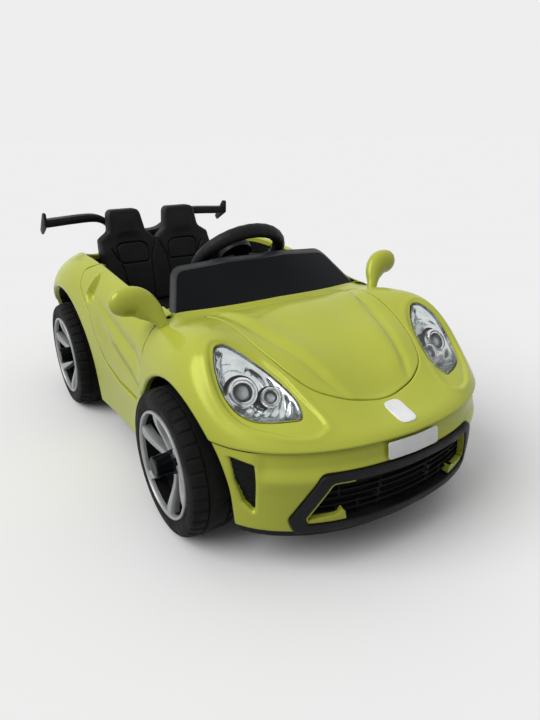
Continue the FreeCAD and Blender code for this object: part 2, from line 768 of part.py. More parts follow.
# dashboard on the bulkhead, bored for the column, the switch and the button
dash_line = [
    (sy(-115), sz(250), 0), (sy(-115), sz(324), 0), (sy(-86), sz(346), 10), (sy(-62), sz(349), 8),
    (sy(-44), sz(330), 8), (sy(-58), sz(262), 10), (sy(-75), sz(250), 6)]
dash = prism("side", dash_line, "-%s + 70" % COCKPIT, "2 * (%s - 70)" % COCKPIT)
dash = common(dash, cockpit)
dash = cut(dash, screen_loft(-80, SCREEN_THICK + 2))
BUTTON_X = "(-half_width * 0.36)"
BUTTON_Z = sz(303)
BUTTON_Y = sy(-46)
SWITCH_X = "(half_width * 0.36)"
switch_room = box("%s - 10.5" % SWITCH_X, "%s + 10.5" % SWITCH_X, sy(-46) - 16, sy(-30), BUTTON_Z - 15, BUTTON_Z + 15)
switch_bore = pin(2.5 + S.run_fit, 29, "%s - 14.5" % SWITCH_X, sy(-46) - 6, BUTTON_Z, (1, 0, 0))
button_bore = pin("button_radius + run_fit", 40, BUTTON_X, BUTTON_Y - 16, BUTTON_Z, (0, 1, 0))
node(cut(dash, column_hole, switch_room, switch_bore, button_bore), "dashboard")
node(pin("button_radius", 14, BUTTON_X, BUTTON_Y - 12, BUTTON_Z, (0, 1, 0)), "power_button")
rocker = common(
    box("%s - 10" % SWITCH_X, "%s + 10" % SWITCH_X, sy(-46) - 12, sy(-46) + 3, BUTTON_Z - 12, BUTTON_Z + 12),
    pin(13, 20, "%s - 10" % SWITCH_X, sy(-46) - 6, BUTTON_Z, (1, 0, 0)))
node(fuse(rocker, pin(2.5, 28, "%s - 14" % SWITCH_X, sy(-46) - 6, BUTTON_Z, (1, 0, 0))), "drive_switch")

# seat
SEAT_Y0 = "(%s - seat_front)" % REAR_AXLE
SEAT_Y1 = "(%s + seat_back_y + back_thick)" % REAR_AXLE
inside = prism("plan", grown(cockpit_line, -S.seat_side), FLOOR, 300)
seat = common(box("-" + SEAT_HALF, SEAT_HALF, SEAT_Y0, SEAT_Y1, FLOOR, "seat_height"), inside)
seat_room = common(
    box("-%s + skin" % SEAT_HALF, "%s - skin" % SEAT_HALF, "%s + skin" % SEAT_Y0, "%s - skin" % SEAT_Y1,
        FLOOR, "seat_height - skin"),
    prism("plan", grown(cockpit_line, -S.seat_side - S.skin), FLOOR, 300))
axle_pass = pin("axle_radius + slack", 700, -350, REAR_AXLE, HUB, (1, 0, 0))
step = box("-" + SEAT_HALF, SEAT_HALF, "%s + seat_back_y - slack" % REAR_AXLE, "%s + 1" % SEAT_Y1,
           "seat_height - back_step", "seat_height + 1")
node(cut(seat, seat_room, axle_pass, step), "seat_base")
foot = S.front_axle_y + S.wheelbase + S.seat_back_y
foot_low = S.seat_height - S.back_step
rise = S.back_top - foot_low


def up(share):
    return foot_low + rise * share


back_line = [(sx(p[0]), up(p[1]), p[2]) for p in full([
    (122, 0.0, 0), (140, 0.55, 40), (138, 0.70, 10), (114, 0.775, 12), (108, 1.0, 16),
    (32, 1.0, 16), (24, 0.775, 14), (0.5, 0.68, 0),
])]
back_side = [(foot, up(0.0), 0), (foot + S.back_lean, up(1.0), 0),
             (foot + S.back_lean + S.back_thick, up(1.0), 0), (foot + S.back_thick, up(0.0), 0)]
node(common(prism("front", back_line, foot + 200, 400), prism("side", back_side, "-half_width", "2 * half_width")),
     "seat_back")

# spoiler on two feet
wing_top = [(0, 334), (50, 336), (82, 364), (112, 383), (233, 377)]
wing_line = [(sx(x), sz(z), 14 if 0 < x < 230 else 0) for x, z in wing_top]
wing_line += [(sx(x), sz(z - 19), 14 if 0 < x < 230 else 0) for x, z in reversed(wing_top)]
wing_line = [p for p in wing_line if p[0] > 0]
wing_line = wing_line + [(-p[0],) + tuple(p[1:]) for p in reversed(wing_line)]
WING_Y = sy(500)
wing = prism("front", wing_line, WING_Y, "spoiler_chord")
fin_line = [(WING_Y - S.spoiler_chord - 4, sz(392), 4), (WING_Y - S.spoiler_chord + 10, sz(392), 4),
            (WING_Y + 12, sz(346), 4), (WING_Y + 2, sz(338), 4), (WING_Y - S.spoiler_chord - 2, sz(362), 6)]
fins = both(prism("side", fin_line, sx(231), 6))
feet = both(box(sx(38), sx(58), sy(446), sy(470), 200, sz(325)))
node(cut(fuse(wing, fins, feet), hull(0)), "spoiler")

# mirrors
MIRROR_X = sx(246)
MIRROR_Y = sy(-136)
MIRROR_Z = sz(328)
stalk = doc.addObject("Part::Cone", "Stalk")
stalk_from = V(sx(207), sy(-163), sz(278))
stalk_to = V(sx(232), sy(-144), sz(322))
stalk.Placement = FreeCAD.Placement(stalk_from, FreeCAD.Rotation(V(0, 0, 1), stalk_to - stalk_from))
bind(stalk, {"Radius1": 8.5, "Radius2": 9.5, "Height": (stalk_to - stalk_from).Length})

def pod(rx, rz, ahead, behind):
    x0, x1 = MIRROR_X - rx, MIRROR_X + rx
    z0, z1 = MIRROR_Z - rz, MIRROR_Z + rz
    y0, y1 = MIRROR_Y - ahead, MIRROR_Y + behind
    corners = [(x, z, 0.9 * rz) for x, z in ((x0, z0), (x1, z0), (x1, z1), (x0, z1))]
    bow = 0.8 * ahead
    brow = 0.7 * ahead
    seen = prism("front", corners, y1, ahead + behind)
    above = prism("plan", [(x0, y1, 0), (x0, y0, bow), (x1, y0, bow), (x1, y1, 0)], z0 - 5, 2 * rz + 10)
    beside = prism("side", [(y1, z0, 0), (y0, z0, brow), (y0, z1, brow), (y1, z1, 0)], x0 - 5, 2 * rx + 10)
    return common(common(seen, above), beside)


mirror_pane = [(x, z, 17) for x, z in ((MIRROR_X - 36, MIRROR_Z - 20), (MIRROR_X + 36, MIRROR_Z - 20),
                                       (MIRROR_X + 36, MIRROR_Z + 20), (MIRROR_X - 36, MIRROR_Z + 20))]
glass = prism("front", mirror_pane, MIRROR_Y + 9, 3)
mirror_head = cut(fuse(pod(39, 23, 21, 9), stalk), hull(0))
mirror_head = cut(mirror_head, prism("front", mirror_pane, MIRROR_Y + 10, 4))
node(mirror_head, "mirror_left")
node(mirror(mirror_head), "mirror_right")
node(glass, "mirror_glass_left")
node(mirror(glass), "mirror_glass_right")

# front beam, kingpins, knuckles and tie rod
BEAM_Y0 = "(front_axle_y - beam_width / 2)"
BEAM_Y1 = "(front_axle_y + beam_width / 2)"
PLATE_TOP = "(floor_low + floor_thick + beam_plate)"
BAR_LOW = "(tyre_radius + sleeve_half)"
BEAM_END = "(half_width - wheel_inset - kingpin_inset + 14)"
WEB = "(half_width - wheel_inset - tyre_width / 2 - steer_room - skin - 18)"
beam = fuse(
    box("-" + BEAM_END, BEAM_END, BEAM_Y0, BEAM_Y1, FLOOR, PLATE_TOP),
    box("-" + BEAM_END, BEAM_END, BEAM_Y0, BEAM_Y1, BAR_LOW, "%s + beam_bar" % BAR_LOW),
    both(box(WEB, "%s + 8" % WEB, BEAM_Y0, BEAM_Y1, FLOOR, "%s + beam_bar" % BAR_LOW)))
kingpin = pin("kingpin_radius", "%s + beam_bar - %s" % (BAR_LOW, FLOOR), KING, "front_axle_y", FLOOR)
kingpins = both(kingpin)
node(cut(beam, kingpins), "front_beam")
node(both(kingpin), "kingpins")
HUB_IN = "(half_width - wheel_inset - 10)"
ARM_LOW = "(%s - tie_thick / 2 - 10)" % TIE_Z
ARM_TOP = "(%s - tie_thick / 2 - slack)" % TIE_Z
knuckle = cut(
    fuse(
        pin("sleeve_radius", "%s - %s - 2 * slack" % (BAR_LOW, PLATE_TOP), KING, "front_axle_y",
            "%s + slack" % PLATE_TOP),
        pin(10, "%s - slack - %s" % (HUB_IN, KING), KING, "front_axle_y", HUB, (1, 0, 0)),
        pin("axle_radius", "%s - %s" % (AXLE_END, KING), KING, "front_axle_y", HUB, (1, 0, 0)),
        box("%s - 6" % KING, "%s + 6" % KING, "front_axle_y", "%s + 7" % TIE_Y, ARM_LOW, ARM_TOP),
        pin("arm_pin", "%s + tie_thick / 2 + 2 - %s" % (TIE_Z, ARM_LOW), KING, TIE_Y, ARM_LOW)),
    pin("kingpin_radius + run_fit", 200, KING, "front_axle_y", 20))
node(knuckle, "knuckle_left")
node(mirror(knuckle), "knuckle_right")
TIE_LOW = "(%s - tie_thick / 2)" % TIE_Z
tie = fuse(
    box("-" + KING, KING, "%s - 5" % TIE_Y, "%s + 5" % TIE_Y, TIE_LOW, "%s + tie_thick" % TIE_LOW),
    box(-16, 16, "%s - 20" % TIE_Y, "%s + 20" % TIE_Y, TIE_LOW, "%s + tie_thick" % TIE_LOW),
    pin("tie_width / 2 + 1", "tie_thick", KING, TIE_Y, TIE_LOW),
    pin("tie_width / 2 + 1", "tie_thick", "-" + KING, TIE_Y, TIE_LOW))
tie = cut(
    tie,
    pin("arm_pin + run_fit", 60, "-" + KING, TIE_Y, "%s - 20" % TIE_LOW),
    pin("arm_pin + slack", 60, KING, TIE_Y, "%s - 20" % TIE_LOW),
    box("-crank_ball - 0.8", "crank_ball + 0.8", "%s - 13" % TIE_Y, "%s + 13" % TIE_Y, 0, 400))
node(tie, "tie_rod")

# steering column with crank and ball, steering wheel, pad and horn buttons
ROOT = "((wheel_y - front_axle_y - arm_length + crank_length * 0.70710678) * 1.41421356)"
HUB_DEEP = 14
column = fuse(
    pin("column_radius", "%s - %s + 8" % (ROOT, HUB_DEEP), 0, "wheel_y - %s * 0.70710678" % HUB_DEEP,
        "wheel_z - %s * 0.70710678" % HUB_DEEP, AXIS),
    pin(2.5, "crank_length", 0, "%s - crank_length * 0.70710678" % TIE_Y,
        "%s + crank_length * 0.70710678" % TIE_Z, (0, 0.70710678, -0.70710678)))
ball = doc.addObject("Part::Sphere", "Ball")
bind(ball, {"Radius": "crank_ball"})
place(ball, 0, TIE_Y, TIE_Z)
node(fuse(column, ball), "steering_column")
TILT = FreeCAD.Rotation(V(1, 0, 0), -45)
ring = doc.addObject("Part::Torus", "Grip")
bind(ring, {"Radius1": "rim_ring", "Radius2": "rim_grip"})
spokes = [
    box("-rim_ring + 4", "rim_ring - 4", -13, 13, -6, 7),
    box(-15, 15, "-rim_ring + 4", 0, -6, 7),
]
wheel = fuse(ring, pin(33, HUB_DEEP + 8, 0, 0, -HUB_DEEP), *spokes)
node(place(wheel, 0, "wheel_y", "wheel_z", TILT), "steering_wheel")
HORN_X = 14
pad = cut(
    pin(31, 12, 0, 0, 8),
    pin("horn_radius + run_fit", 20, HORN_X, 0, 10),
    pin("horn_radius + run_fit", 20, -HORN_X, 0, 10))
node(place(pad, 0, "wheel_y", "wheel_z", TILT), "steering_pad")
for label, x in (("horn_button_left", HORN_X), ("horn_button_right", -HORN_X)):
    horn = fuse(
        pin("horn_radius", "10 - horn_travel", x, 0, "11 + horn_travel"),
        pin("horn_radius - 2", "11 - horn_travel", x, 0, "11 + horn_travel"))
    node(place(horn, 0, "wheel_y", "wheel_z", TILT), label)

# foot pedal
pedal = fuse(
    box("-pedal_width / 2", "pedal_width / 2", "-pedal_length", 0, -3, 3),
    pin(6, "pedal_width", "-pedal_width / 2", 0, 0, (1, 0, 0)),
    pin("pedal_pin", "pedal_width + 2 * slack + 12", "-pedal_width / 2 - slack - 6", 0, 0, (1, 0, 0)))
node(place(pedal, "pedal_x", PEDAL_Y, PEDAL_Z, FreeCAD.Rotation(V(1, 0, 0), -25)), "pedal")

# drive units, battery, control box, charging socket, screws
BOX_IN = "(%s + 10)" % POST
gearbox = cut(
    box(BOX_IN, "%s + 20" % BOX_IN, "%s - 57" % REAR_AXLE, "%s + 28" % REAR_AXLE, "tyre_radius - 27",
        "tyre_radius + 53"),
    rear_shaft())
node(both(gearbox), "gearboxes")
node(both(pin(18, 55, "%s - 55" % BOX_IN, "%s - 36" % REAR_AXLE, "tyre_radius + 22", (1, 0, 0))), "motors")
node(box(-72, 72, "%s + 30" % SEAT_Y0, "%s + 95" % SEAT_Y0, FLOOR, "%s + 94" % FLOOR), "battery")
node(box(-50, 50, "%s - 44" % SEAT_Y1, "%s - 14" % SEAT_Y1, FLOOR, "%s + 50" % FLOOR), "control_box")
node(cut(pin(11, 5, 110, SEAT_Y0, "seat_height - 54", (0, -1, 0)),
         pin(4, 3, 110, "%s - 2" % SEAT_Y0, "seat_height - 54", (0, -1, 0))), "charge_socket")
heads = []
for x in (-60, 60):
    for y in (-150, 40, 300):
        heads.append(pin("screw_head", 3, x, sy(y), "floor_low - 3"))
node(fuse(*heads), "floor_screws")

# doors: skin with a boxed inner frame, carried by a lug that reaches round behind the front wing
door_skin = prism("side", grown(door_line, -S.door_gap), COCKPIT, 120)
door_box = prism("side", grown(door_line, -S.door_gap - S.skin), COCKPIT, 120)
door_hollow = prism("side", grown(door_line, -S.door_gap - 2 * S.skin), "%s + skin" % COCKPIT, 120)
lug = fuse(
    pin("hinge_boss", "hinge_tall", HINGE_X, HINGE_Y, "hinge_low"),
    box("%s - 24" % HINGE_X, HINGE_X, "%s - 4.5" % HINGE_Y, "%s + 4.5" % HINGE_Y, "hinge_low", HINGE_TOP),
    box("%s - 24" % HINGE_X, "%s - 16" % HINGE_X, "%s - 4.5" % HINGE_Y, sy(-137), "hinge_low", HINGE_TOP),
    pin("hinge_pin", "hinge_tall + 14", HINGE_X, HINGE_Y, "hinge_low - 7"))
frame = cut(common(hull(S.skin), door_box), common(hull(2 * S.skin), door_hollow))
door = fuse(patch(door_skin, 0, S.skin), frame, lug)
node(door, "door_left")
node(mirror(door), "door_right")


# wheels: own axis along Z, outer face up, then turned onto the axles
def body_sketch(part, plane_role, points, name):
    sk = part.newObject("Sketcher::SketchObject", name)
    planes = [f for f in part.Origin.OriginFeatures if f.Role == plane_role]
    sk.AttachmentSupport = [(planes[0], "")]
    sk.MapMode = "FlatFace"
    sk.addGeometry(rounded(points), False)
    return sk


def tyre(label, x, y, out):
    part = doc.addObject("PartDesign::Body", label)
    r = S.tyre_radius
    w = S.tyre_width / 2
    t = S.tyre_wall
    rr = S.rim_radius
    half = [(rr, w - 5, 2), (rr + 12, w, 6), (r - 8, w - 2, 5), (r, w - 12, 5), (r, 15, 0), (r - 2.5, 15, 0),
            (r - 2.5, 11, 0), (r, 11, 0)]
    hollow = [(r - t - 2.5, w - 16, 3), (r - t - 8, w - t - 2, 3), (rr + 10, w - t, 3), (rr, w - 5 - t, 1)]
    outer = half + [(p[0], -p[1], p[2]) for p in reversed(half)]
    inner = [(p[0], -p[1], p[2]) for p in reversed(hollow)] + hollow
    sk = body_sketch(part, "XZ_Plane", outer + inner, "Section")
    rev = part.newObject("PartDesign::Revolution", "Carcass")
    rev.Profile = sk
    rev.ReferenceAxis = (sk, ["V_Axis"])
    rev.Angle = 360
    part.Tip = rev
    return node(place(part, x, y, HUB, FreeCAD.Rotation(V(0, 0, 1), V(out, 0, 0))), label)


SPOKES = 6


def rim(label, x, y, out):
    part = doc.addObject("PartDesign::Body", label)
    w = S.tyre_width / 2
    rr = S.rim_radius
    bore = S.axle_radius + S.run_fit
    face = w + S.rim_proud
    back = face - S.spoke_depth
    section = [(bore, -10, 0), (S.hub_radius, -10, 2), (S.hub_radius, back - 14, 10), (rr - S.rim_wall, back, 6),
               (rr - S.rim_wall, -w + 4, 0), (rr, -w + 4, 0), (rr, face - 2, 2), (rr - 3, face, 2),
               (rr - 9, face, 2), (rr - 12, face - 4, 6), (S.hub_radius + 8, face - 7, 20), (S.hub_radius, face - 5, 0),
               (bore, face - 5, 0)]
    sk = body_sketch(part, "XZ_Plane", section, "Section")
    rev = part.newObject("PartDesign::Revolution", "Dish")
    rev.Profile = sk
    rev.ReferenceAxis = (sk, ["V_Axis"])
    rev.Angle = 360
    part.Tip = rev
    r0 = S.hub_radius + 6
    r1 = rr - S.rim_wall - 8
    window = [(r0 * math.cos(math.radians(a)), r0 * math.sin(math.radians(a)), 3) for a in (12, 34)]
    window += [(r1 * math.cos(math.radians(a)), r1 * math.sin(math.radians(a)), 6) for a in (46, 24, 2)]
    holes = body_sketch(part, "XY_Plane", window, "Window")
    pocket = part.newObject("PartDesign::Pocket", "Windows")
    pocket.Profile = holes
    pocket.Type = "ThroughAll"
    pocket.Midplane = True
    part.Tip = pocket
    pattern = part.newObject("PartDesign::PolarPattern", "Spokes")
    pattern.Originals = [pocket]
    pattern.Axis = (holes, ["N_Axis"])
    pattern.Angle = 360
    pattern.Occurrences = SPOKES
    part.Tip = pattern
    return node(place(part, x, y, HUB, FreeCAD.Rotation(V(0, 0, 1), V(out, 0, 0))), label)


def hub_cap(label, x, y, out):
    part = doc.addObject("PartDesign::Body", label)
    face = S.tyre_width / 2 + S.rim_proud - 5
    deep = 4.0
    section = [(0, face + S.cap_depth + deep, 0), (S.cap_radius - 5, face + S.cap_depth + deep - 1, 6),
               (S.cap_radius, face + 3, 3), (S.cap_radius, face, 0), (S.axle_radius + 2, face, 0),
               (S.axle_radius + 2, face + 5, 0), (0, face + 5, 0)]
    sk = body_sketch(part, "XZ_Plane", section, "Section")
    rev = part.newObject("PartDesign::Revolution", "Cap")
    rev.Profile = sk
    rev.ReferenceAxis = (sk, ["V_Axis"])
    rev.Angle = 360
    part.Tip = rev
    return node(place(part, x, y, HUB, FreeCAD.Rotation(V(0, 0, 1), V(out, 0, 0))), label)


for name, axle in (("front", "front_axle_y"), ("rear", REAR_AXLE)):
    for hand, out in (("left", 1), ("right", -1)):
        at = "%d * %s" % (out, TRACK)
        tyre("tyre_%s_%s" % (name, hand), at, axle, out)
        rim("rim_%s_%s" % (name, hand), at, axle, out)
        hub_cap("hub_cap_%s_%s" % (name, hand), at, axle, out)

doc.recompute()
failed = [obj.Label for obj in doc.Objects if "Invalid" in obj.State or "Error" in obj.State]
failed += [label for label, obj in NODES if obj.Shape.isNull() or not obj.Shape.isValid()]
if failed:
    raise RuntimeError("failed: " + ", ".join(failed))
os.makedirs("parts", exist_ok=True)
for label, obj in NODES:
    obj.Shape.exportStep("parts/%s.step" % label)
    print(label, len(obj.Shape.Solids), round(obj.Shape.Volume / 1000, 1))
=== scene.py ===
import math
import bpy
import numpy as np
from mathutils import Matrix, Vector


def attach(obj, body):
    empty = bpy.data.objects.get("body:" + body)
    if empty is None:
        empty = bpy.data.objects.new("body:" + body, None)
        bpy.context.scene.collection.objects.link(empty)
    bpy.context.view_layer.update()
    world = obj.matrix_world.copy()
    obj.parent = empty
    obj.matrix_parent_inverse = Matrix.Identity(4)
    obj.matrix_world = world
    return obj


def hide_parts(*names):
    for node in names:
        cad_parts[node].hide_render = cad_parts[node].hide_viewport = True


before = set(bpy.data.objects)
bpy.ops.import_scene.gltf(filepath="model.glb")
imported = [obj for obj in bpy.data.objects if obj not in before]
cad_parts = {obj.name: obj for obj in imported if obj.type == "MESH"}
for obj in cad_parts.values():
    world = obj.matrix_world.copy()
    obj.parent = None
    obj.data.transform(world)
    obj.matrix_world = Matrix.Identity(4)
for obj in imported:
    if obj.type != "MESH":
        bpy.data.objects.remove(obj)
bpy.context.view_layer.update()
scene = bpy.context.scene

# drawing millimetres to the frame's metres, and the mirror image of a point
MM = 0.001
SHIFT = np.array((0.0, -6.4, 0.0))
FLIP = np.array((-1.0, 1.0, 1.0))

# main measures of the drawing, millimetres: x to the car's left, y to the back, z up
FRONT_AXLE = -260
REAR_AXLE = 272
AXLE_Z = 112
WHEEL_X = 232.5
FRONT_ARCH = 128
REAR_ARCH = 150
BODY_LOW = 60
BUMPER_LOW = 68
NOSE_END = -330
TAIL_END = 330
NOSE_LIP_Z = 191
TAIL_LIP_Z = 206
SEAM = 1
JAMB_X = 200.0
DOOR_GAP = 2.2
DOOR_IN_X = 190
DOOR_BACK_X = 206.0
FLOOR_TOP = 68.0
BAY_LOW = 200

# values of cuts far from their lines
FAR = 300.0
DOOR_FAR = 200.0


# colours of a ramp, by place
def set_stops(ramp, stops):
    while len(ramp.elements) < len(stops):
        ramp.elements.new(0.5)
    for e, (at, c) in zip(ramp.elements, stops):
        e.position = at
        e.color = tuple(c) + (1.0,)


# values of a node's inputs, by name
def set_inputs(node, values):
    for name, value in values.items():
        node.inputs[name].default_value = value


# ends a node tree with two shaders mixed by a factor
def mixed(tree, fac, first, second, end):
    mix = tree.nodes.new("ShaderNodeMixShader")
    tree.links.new(fac, mix.inputs["Fac"])
    tree.links.new(first, mix.inputs[1])
    tree.links.new(second, mix.inputs[2])
    tree.links.new(mix.outputs["Shader"], tree.nodes[end].inputs["Surface"])


# material whose colour, roughness and surface vary by noise
class Mat:
    def __init__(self, name, metal=0.0, coat=0.0, spec=0.5):
        self.slot = name
        self.mat = bpy.data.materials.new("look_" + name)
        self.mat.use_nodes = True
        self.tree = self.mat.node_tree
        self.shader = self.tree.nodes["Principled BSDF"]
        set_inputs(self.shader, {
            "Metallic": metal, "Specular IOR Level": spec, "Coat Weight": coat, "Coat Roughness": 0.06})
        self.where = self.tree.nodes.new("ShaderNodeTexCoord")
        self.normal = None

    def link(self, a, b):
        self.tree.links.new(a, b)

    def noise(self, scale, detail, rough=0.5):
        n = self.tree.nodes.new("ShaderNodeTexNoise")
        set_inputs(n, {"Scale": scale, "Detail": detail, "Roughness": rough})
        self.link(self.where.outputs["Object"], n.inputs["Vector"])
        return n.outputs["Fac"]

    def colours(self, scale, tones, places=(0.3, 0.7), detail=4.0):
        r = self.tree.nodes.new("ShaderNodeValToRGB")
        set_stops(r.color_ramp, list(zip(places, tones)))
        self.link(self.noise(scale, detail), r.inputs["Fac"])
        self.link(r.outputs["Color"], self.shader.inputs["Base Color"])

    def roughness(self, scale, low, high, detail=4.0):
        r = self.tree.nodes.new("ShaderNodeMapRange")
        set_inputs(r, {"From Min": 0.3, "From Max": 0.7, "To Min": low, "To Max": high})
        self.link(self.noise(scale, detail, 0.6), r.inputs["Value"])
        self.link(r.outputs["Result"], self.shader.inputs["Roughness"])

    def bump(self, scale, strength, distance, detail=3.0):
        b = self.tree.nodes.new("ShaderNodeBump")
        set_inputs(b, {"Strength": strength, "Distance": distance})
        self.link(self.noise(scale, detail), b.inputs["Height"])
        self.normal = b.outputs["Normal"]
        self.link(self.normal, self.shader.inputs["Normal"])


def tint(c, k):
    return tuple(v * k for v in c)


LIME = (0.46, 0.495, 0.06)
paint = Mat("lime_gloss", 0.1, 0.06, 0.14)
paint.colours(6, [tint(LIME, 0.95), LIME, tint(LIME, 1.05)], (0.3, 0.55, 0.75), 2.0)
paint.roughness(9, 0.2, 0.27, 2.0)
paint.bump(150, 0.02, 0.0004, 1.0)
BLACK = (0.0062, 0.0065, 0.0073)
black = Mat("black_plastic", spec=0.16)
black.colours(18, [tint(BLACK, 0.8), tint(BLACK, 1.5)])
black.roughness(40, 0.38, 0.6)
black.bump(700, 0.18, 0.0006)
gloss = Mat("black_gloss", spec=0.06)
gloss.colours(7, [(0.005, 0.0055, 0.0068), (0.008, 0.009, 0.011)], (0.35, 0.7))
gloss.roughness(5, 0.05, 0.2)
gloss.bump(5, 0.03, 0.01)
grey = Mat("black_plastic", spec=0.3)
grey.colours(20, [(0.016, 0.017, 0.019), (0.026, 0.027, 0.029)])
grey.roughness(30, 0.34, 0.5)
grey.bump(600, 0.1, 0.0005)
# darkest plastic; in the wheel wells its dark is painted shade, standing for the shade inside the green
# body
dark_plastic_and_shade = Mat("black_plastic", spec=0.1)
dark_plastic_and_shade.colours(24, [(0.004, 0.0042, 0.0045), (0.0075, 0.0075, 0.008)])
dark_plastic_and_shade.roughness(40, 0.5, 0.7)
dark_plastic_and_shade.bump(600, 0.12, 0.0005)
rubber = Mat("tyre_rubber", spec=0.12)
rubber.colours(30, [(0.004, 0.004, 0.0042), (0.0075, 0.0073, 0.007)])
rubber.roughness(40, 0.55, 0.8)
rubber.bump(500, 0.2, 0.0008)
silver = Mat("silver_plastic", 0.6)
silver.colours(35, [(0.35, 0.36, 0.36), (0.44, 0.45, 0.45)])
silver.roughness(45, 0.26, 0.42)
silver.bump(900, 0.05, 0.0004)
chrome = Mat("lamp_chrome", 0.95)
chrome.colours(60, [(0.72, 0.75, 0.75), (0.9, 0.92, 0.92)], (0.35, 0.65))
chrome.roughness(60, 0.08, 0.2)
white = Mat("white_gloss")
white.colours(40, [(0.74, 0.75, 0.75), (0.84, 0.84, 0.84)])
white.roughness(40, 0.28, 0.45)
white.bump(600, 0.05, 0.0004)
lamp = Mat("lamp_white", 0.8)
lamp.colours(90, [(0.75, 0.76, 0.77), (0.95, 0.95, 0.95)], (0.35, 0.65))
lamp.roughness(50, 0.06, 0.2)
red = Mat("red_lens", coat=0.2, spec=0.3)
red.colours(70, [(0.3, 0.006, 0.006), (0.5, 0.02, 0.016)], (0.35, 0.7))
red.roughness(40, 0.1, 0.24)
red.bump(240, 0.2, 0.001)
button = Mat("red_button")
button.colours(60, [(0.45, 0.014, 0.012), (0.62, 0.03, 0.025)])
button.roughness(40, 0.28, 0.45)
button.bump(600, 0.1, 0.0005)
looking = Mat("mirror_face", 1.0)
looking.colours(12, [(0.74, 0.76, 0.78), (0.85, 0.87, 0.88)])
looking.roughness(25, 0.02, 0.09)
steel = Mat("steel", 1.0)
steel.colours(50, [(0.36, 0.36, 0.36), (0.55, 0.55, 0.55)])
steel.roughness(70, 0.25, 0.5)
steel.bump(400, 0.1, 0.0005)
cell = Mat("battery_case")
cell.colours(30, [(0.035, 0.04, 0.045), (0.07, 0.075, 0.08)])
cell.roughness(30, 0.4, 0.6)
cell.bump(500, 0.15, 0.0006)

# clear lens: thin shell that lets light through and shines at the edge
clear = Mat("clear_lens")
clear.bump(60, 0.05, 0.002)
passing = clear.tree.nodes.new("ShaderNodeBsdfTransparent")
set_inputs(passing, {"Color": (0.95, 0.97, 0.97, 1.0)})
shine = clear.tree.nodes.new("ShaderNodeBsdfGlossy")
set_inputs(shine, {"Roughness": 0.04})
clear.link(clear.normal, shine.inputs["Normal"])
edge = clear.tree.nodes.new("ShaderNodeFresnel")
set_inputs(edge, {"IOR": 1.5})
mixed(clear.tree, edge.outputs["Fac"], passing.outputs["BSDF"], shine.outputs["BSDF"], "Material Output")


# shows a mesh as a piece that rides on a body and stands for nodes of the frame
def show(name, p, faces, mat, replaced=(), body="chassis", sharp=40.0):
    mesh = bpy.data.meshes.new(name)
    q = (np.asarray(p, float) + SHIFT) * MM
    mesh.from_pydata(q.tolist(), [], [tuple(int(i) for i in f) for f in faces])
    mesh.validate()
    mesh.materials.append(mat.mat)
    mesh.polygons.foreach_set("use_smooth", [True] * len(mesh.polygons))
    mesh.set_sharp_from_angle(angle=math.radians(sharp))
    obj = bpy.data.objects.new(name, mesh)
    scene.collection.objects.link(obj)
    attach(obj, body)
    if replaced:
        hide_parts(*replaced)


# several meshes as one
def joined(*meshes):
    ps = []
    fs = []
    n = 0
    for p, f in meshes:
        ps.append(np.asarray(p, float))
        fs += [[int(i) + n for i in face] for face in f]
        n += len(p)
    return np.vstack(ps), fs


# mirror image of a mesh
def flipped(p, f):
    return p * FLIP, [face[::-1] for face in f]


# most of a side that a rounded corner takes
SIDE_SHARE = 0.46


# closed line of a polygon with rounded corners
def outline(points, steps=5):
    out = []
    corners = np.array(points, float)[:, :2]
    n = len(points)
    for i in range(n):
        p = corners[i]
        r = points[i][2]
        a = corners[i - 1] - p
        b = corners[(i + 1) % n] - p
        la = np.linalg.norm(a)
        lb = np.linalg.norm(b)
        a /= la
        b /= lb
        ang = math.acos(np.clip(a @ b, -1, 1))
        if r <= 0 or ang > math.pi - 0.01:
            out.append(p)
            continue
        reach = min(r / math.tan(ang / 2), SIDE_SHARE * la, SIDE_SHARE * lb)
        for k in range(steps + 1):
            w = k / steps
            out.append(p + a * reach * (1 - w) ** 2 + b * reach * w ** 2)
    return np.array(out)


# corners of a half and of its mirror image
def full(half):
    return half + [(-x, y, r) for x, y, r in reversed(half)]


# distance to a closed line, positive inside
def inside(line, u, v):
    q = np.stack([u, v], 1)
    best = np.full(len(q), 1e12)
    odd = np.zeros(len(q), bool)
    for a, b in zip(line, np.roll(line, -1, 0)):
        d = b - a
        w = q - a
        k = np.clip((w @ d) / max(d @ d, 1e-9), 0, 1)
        best = np.minimum(best, ((w - k[:, None] * d) ** 2).sum(1))
        rise = b[1] - a[1]
        if abs(rise) > 1e-9:
            cross = (a[1] > q[:, 1]) != (b[1] > q[:, 1])
            odd ^= cross & (q[:, 0] < d[0] * (q[:, 1] - a[1]) / rise + a[0])
    best = np.sqrt(best)
    return np.where(odd, best, -best)


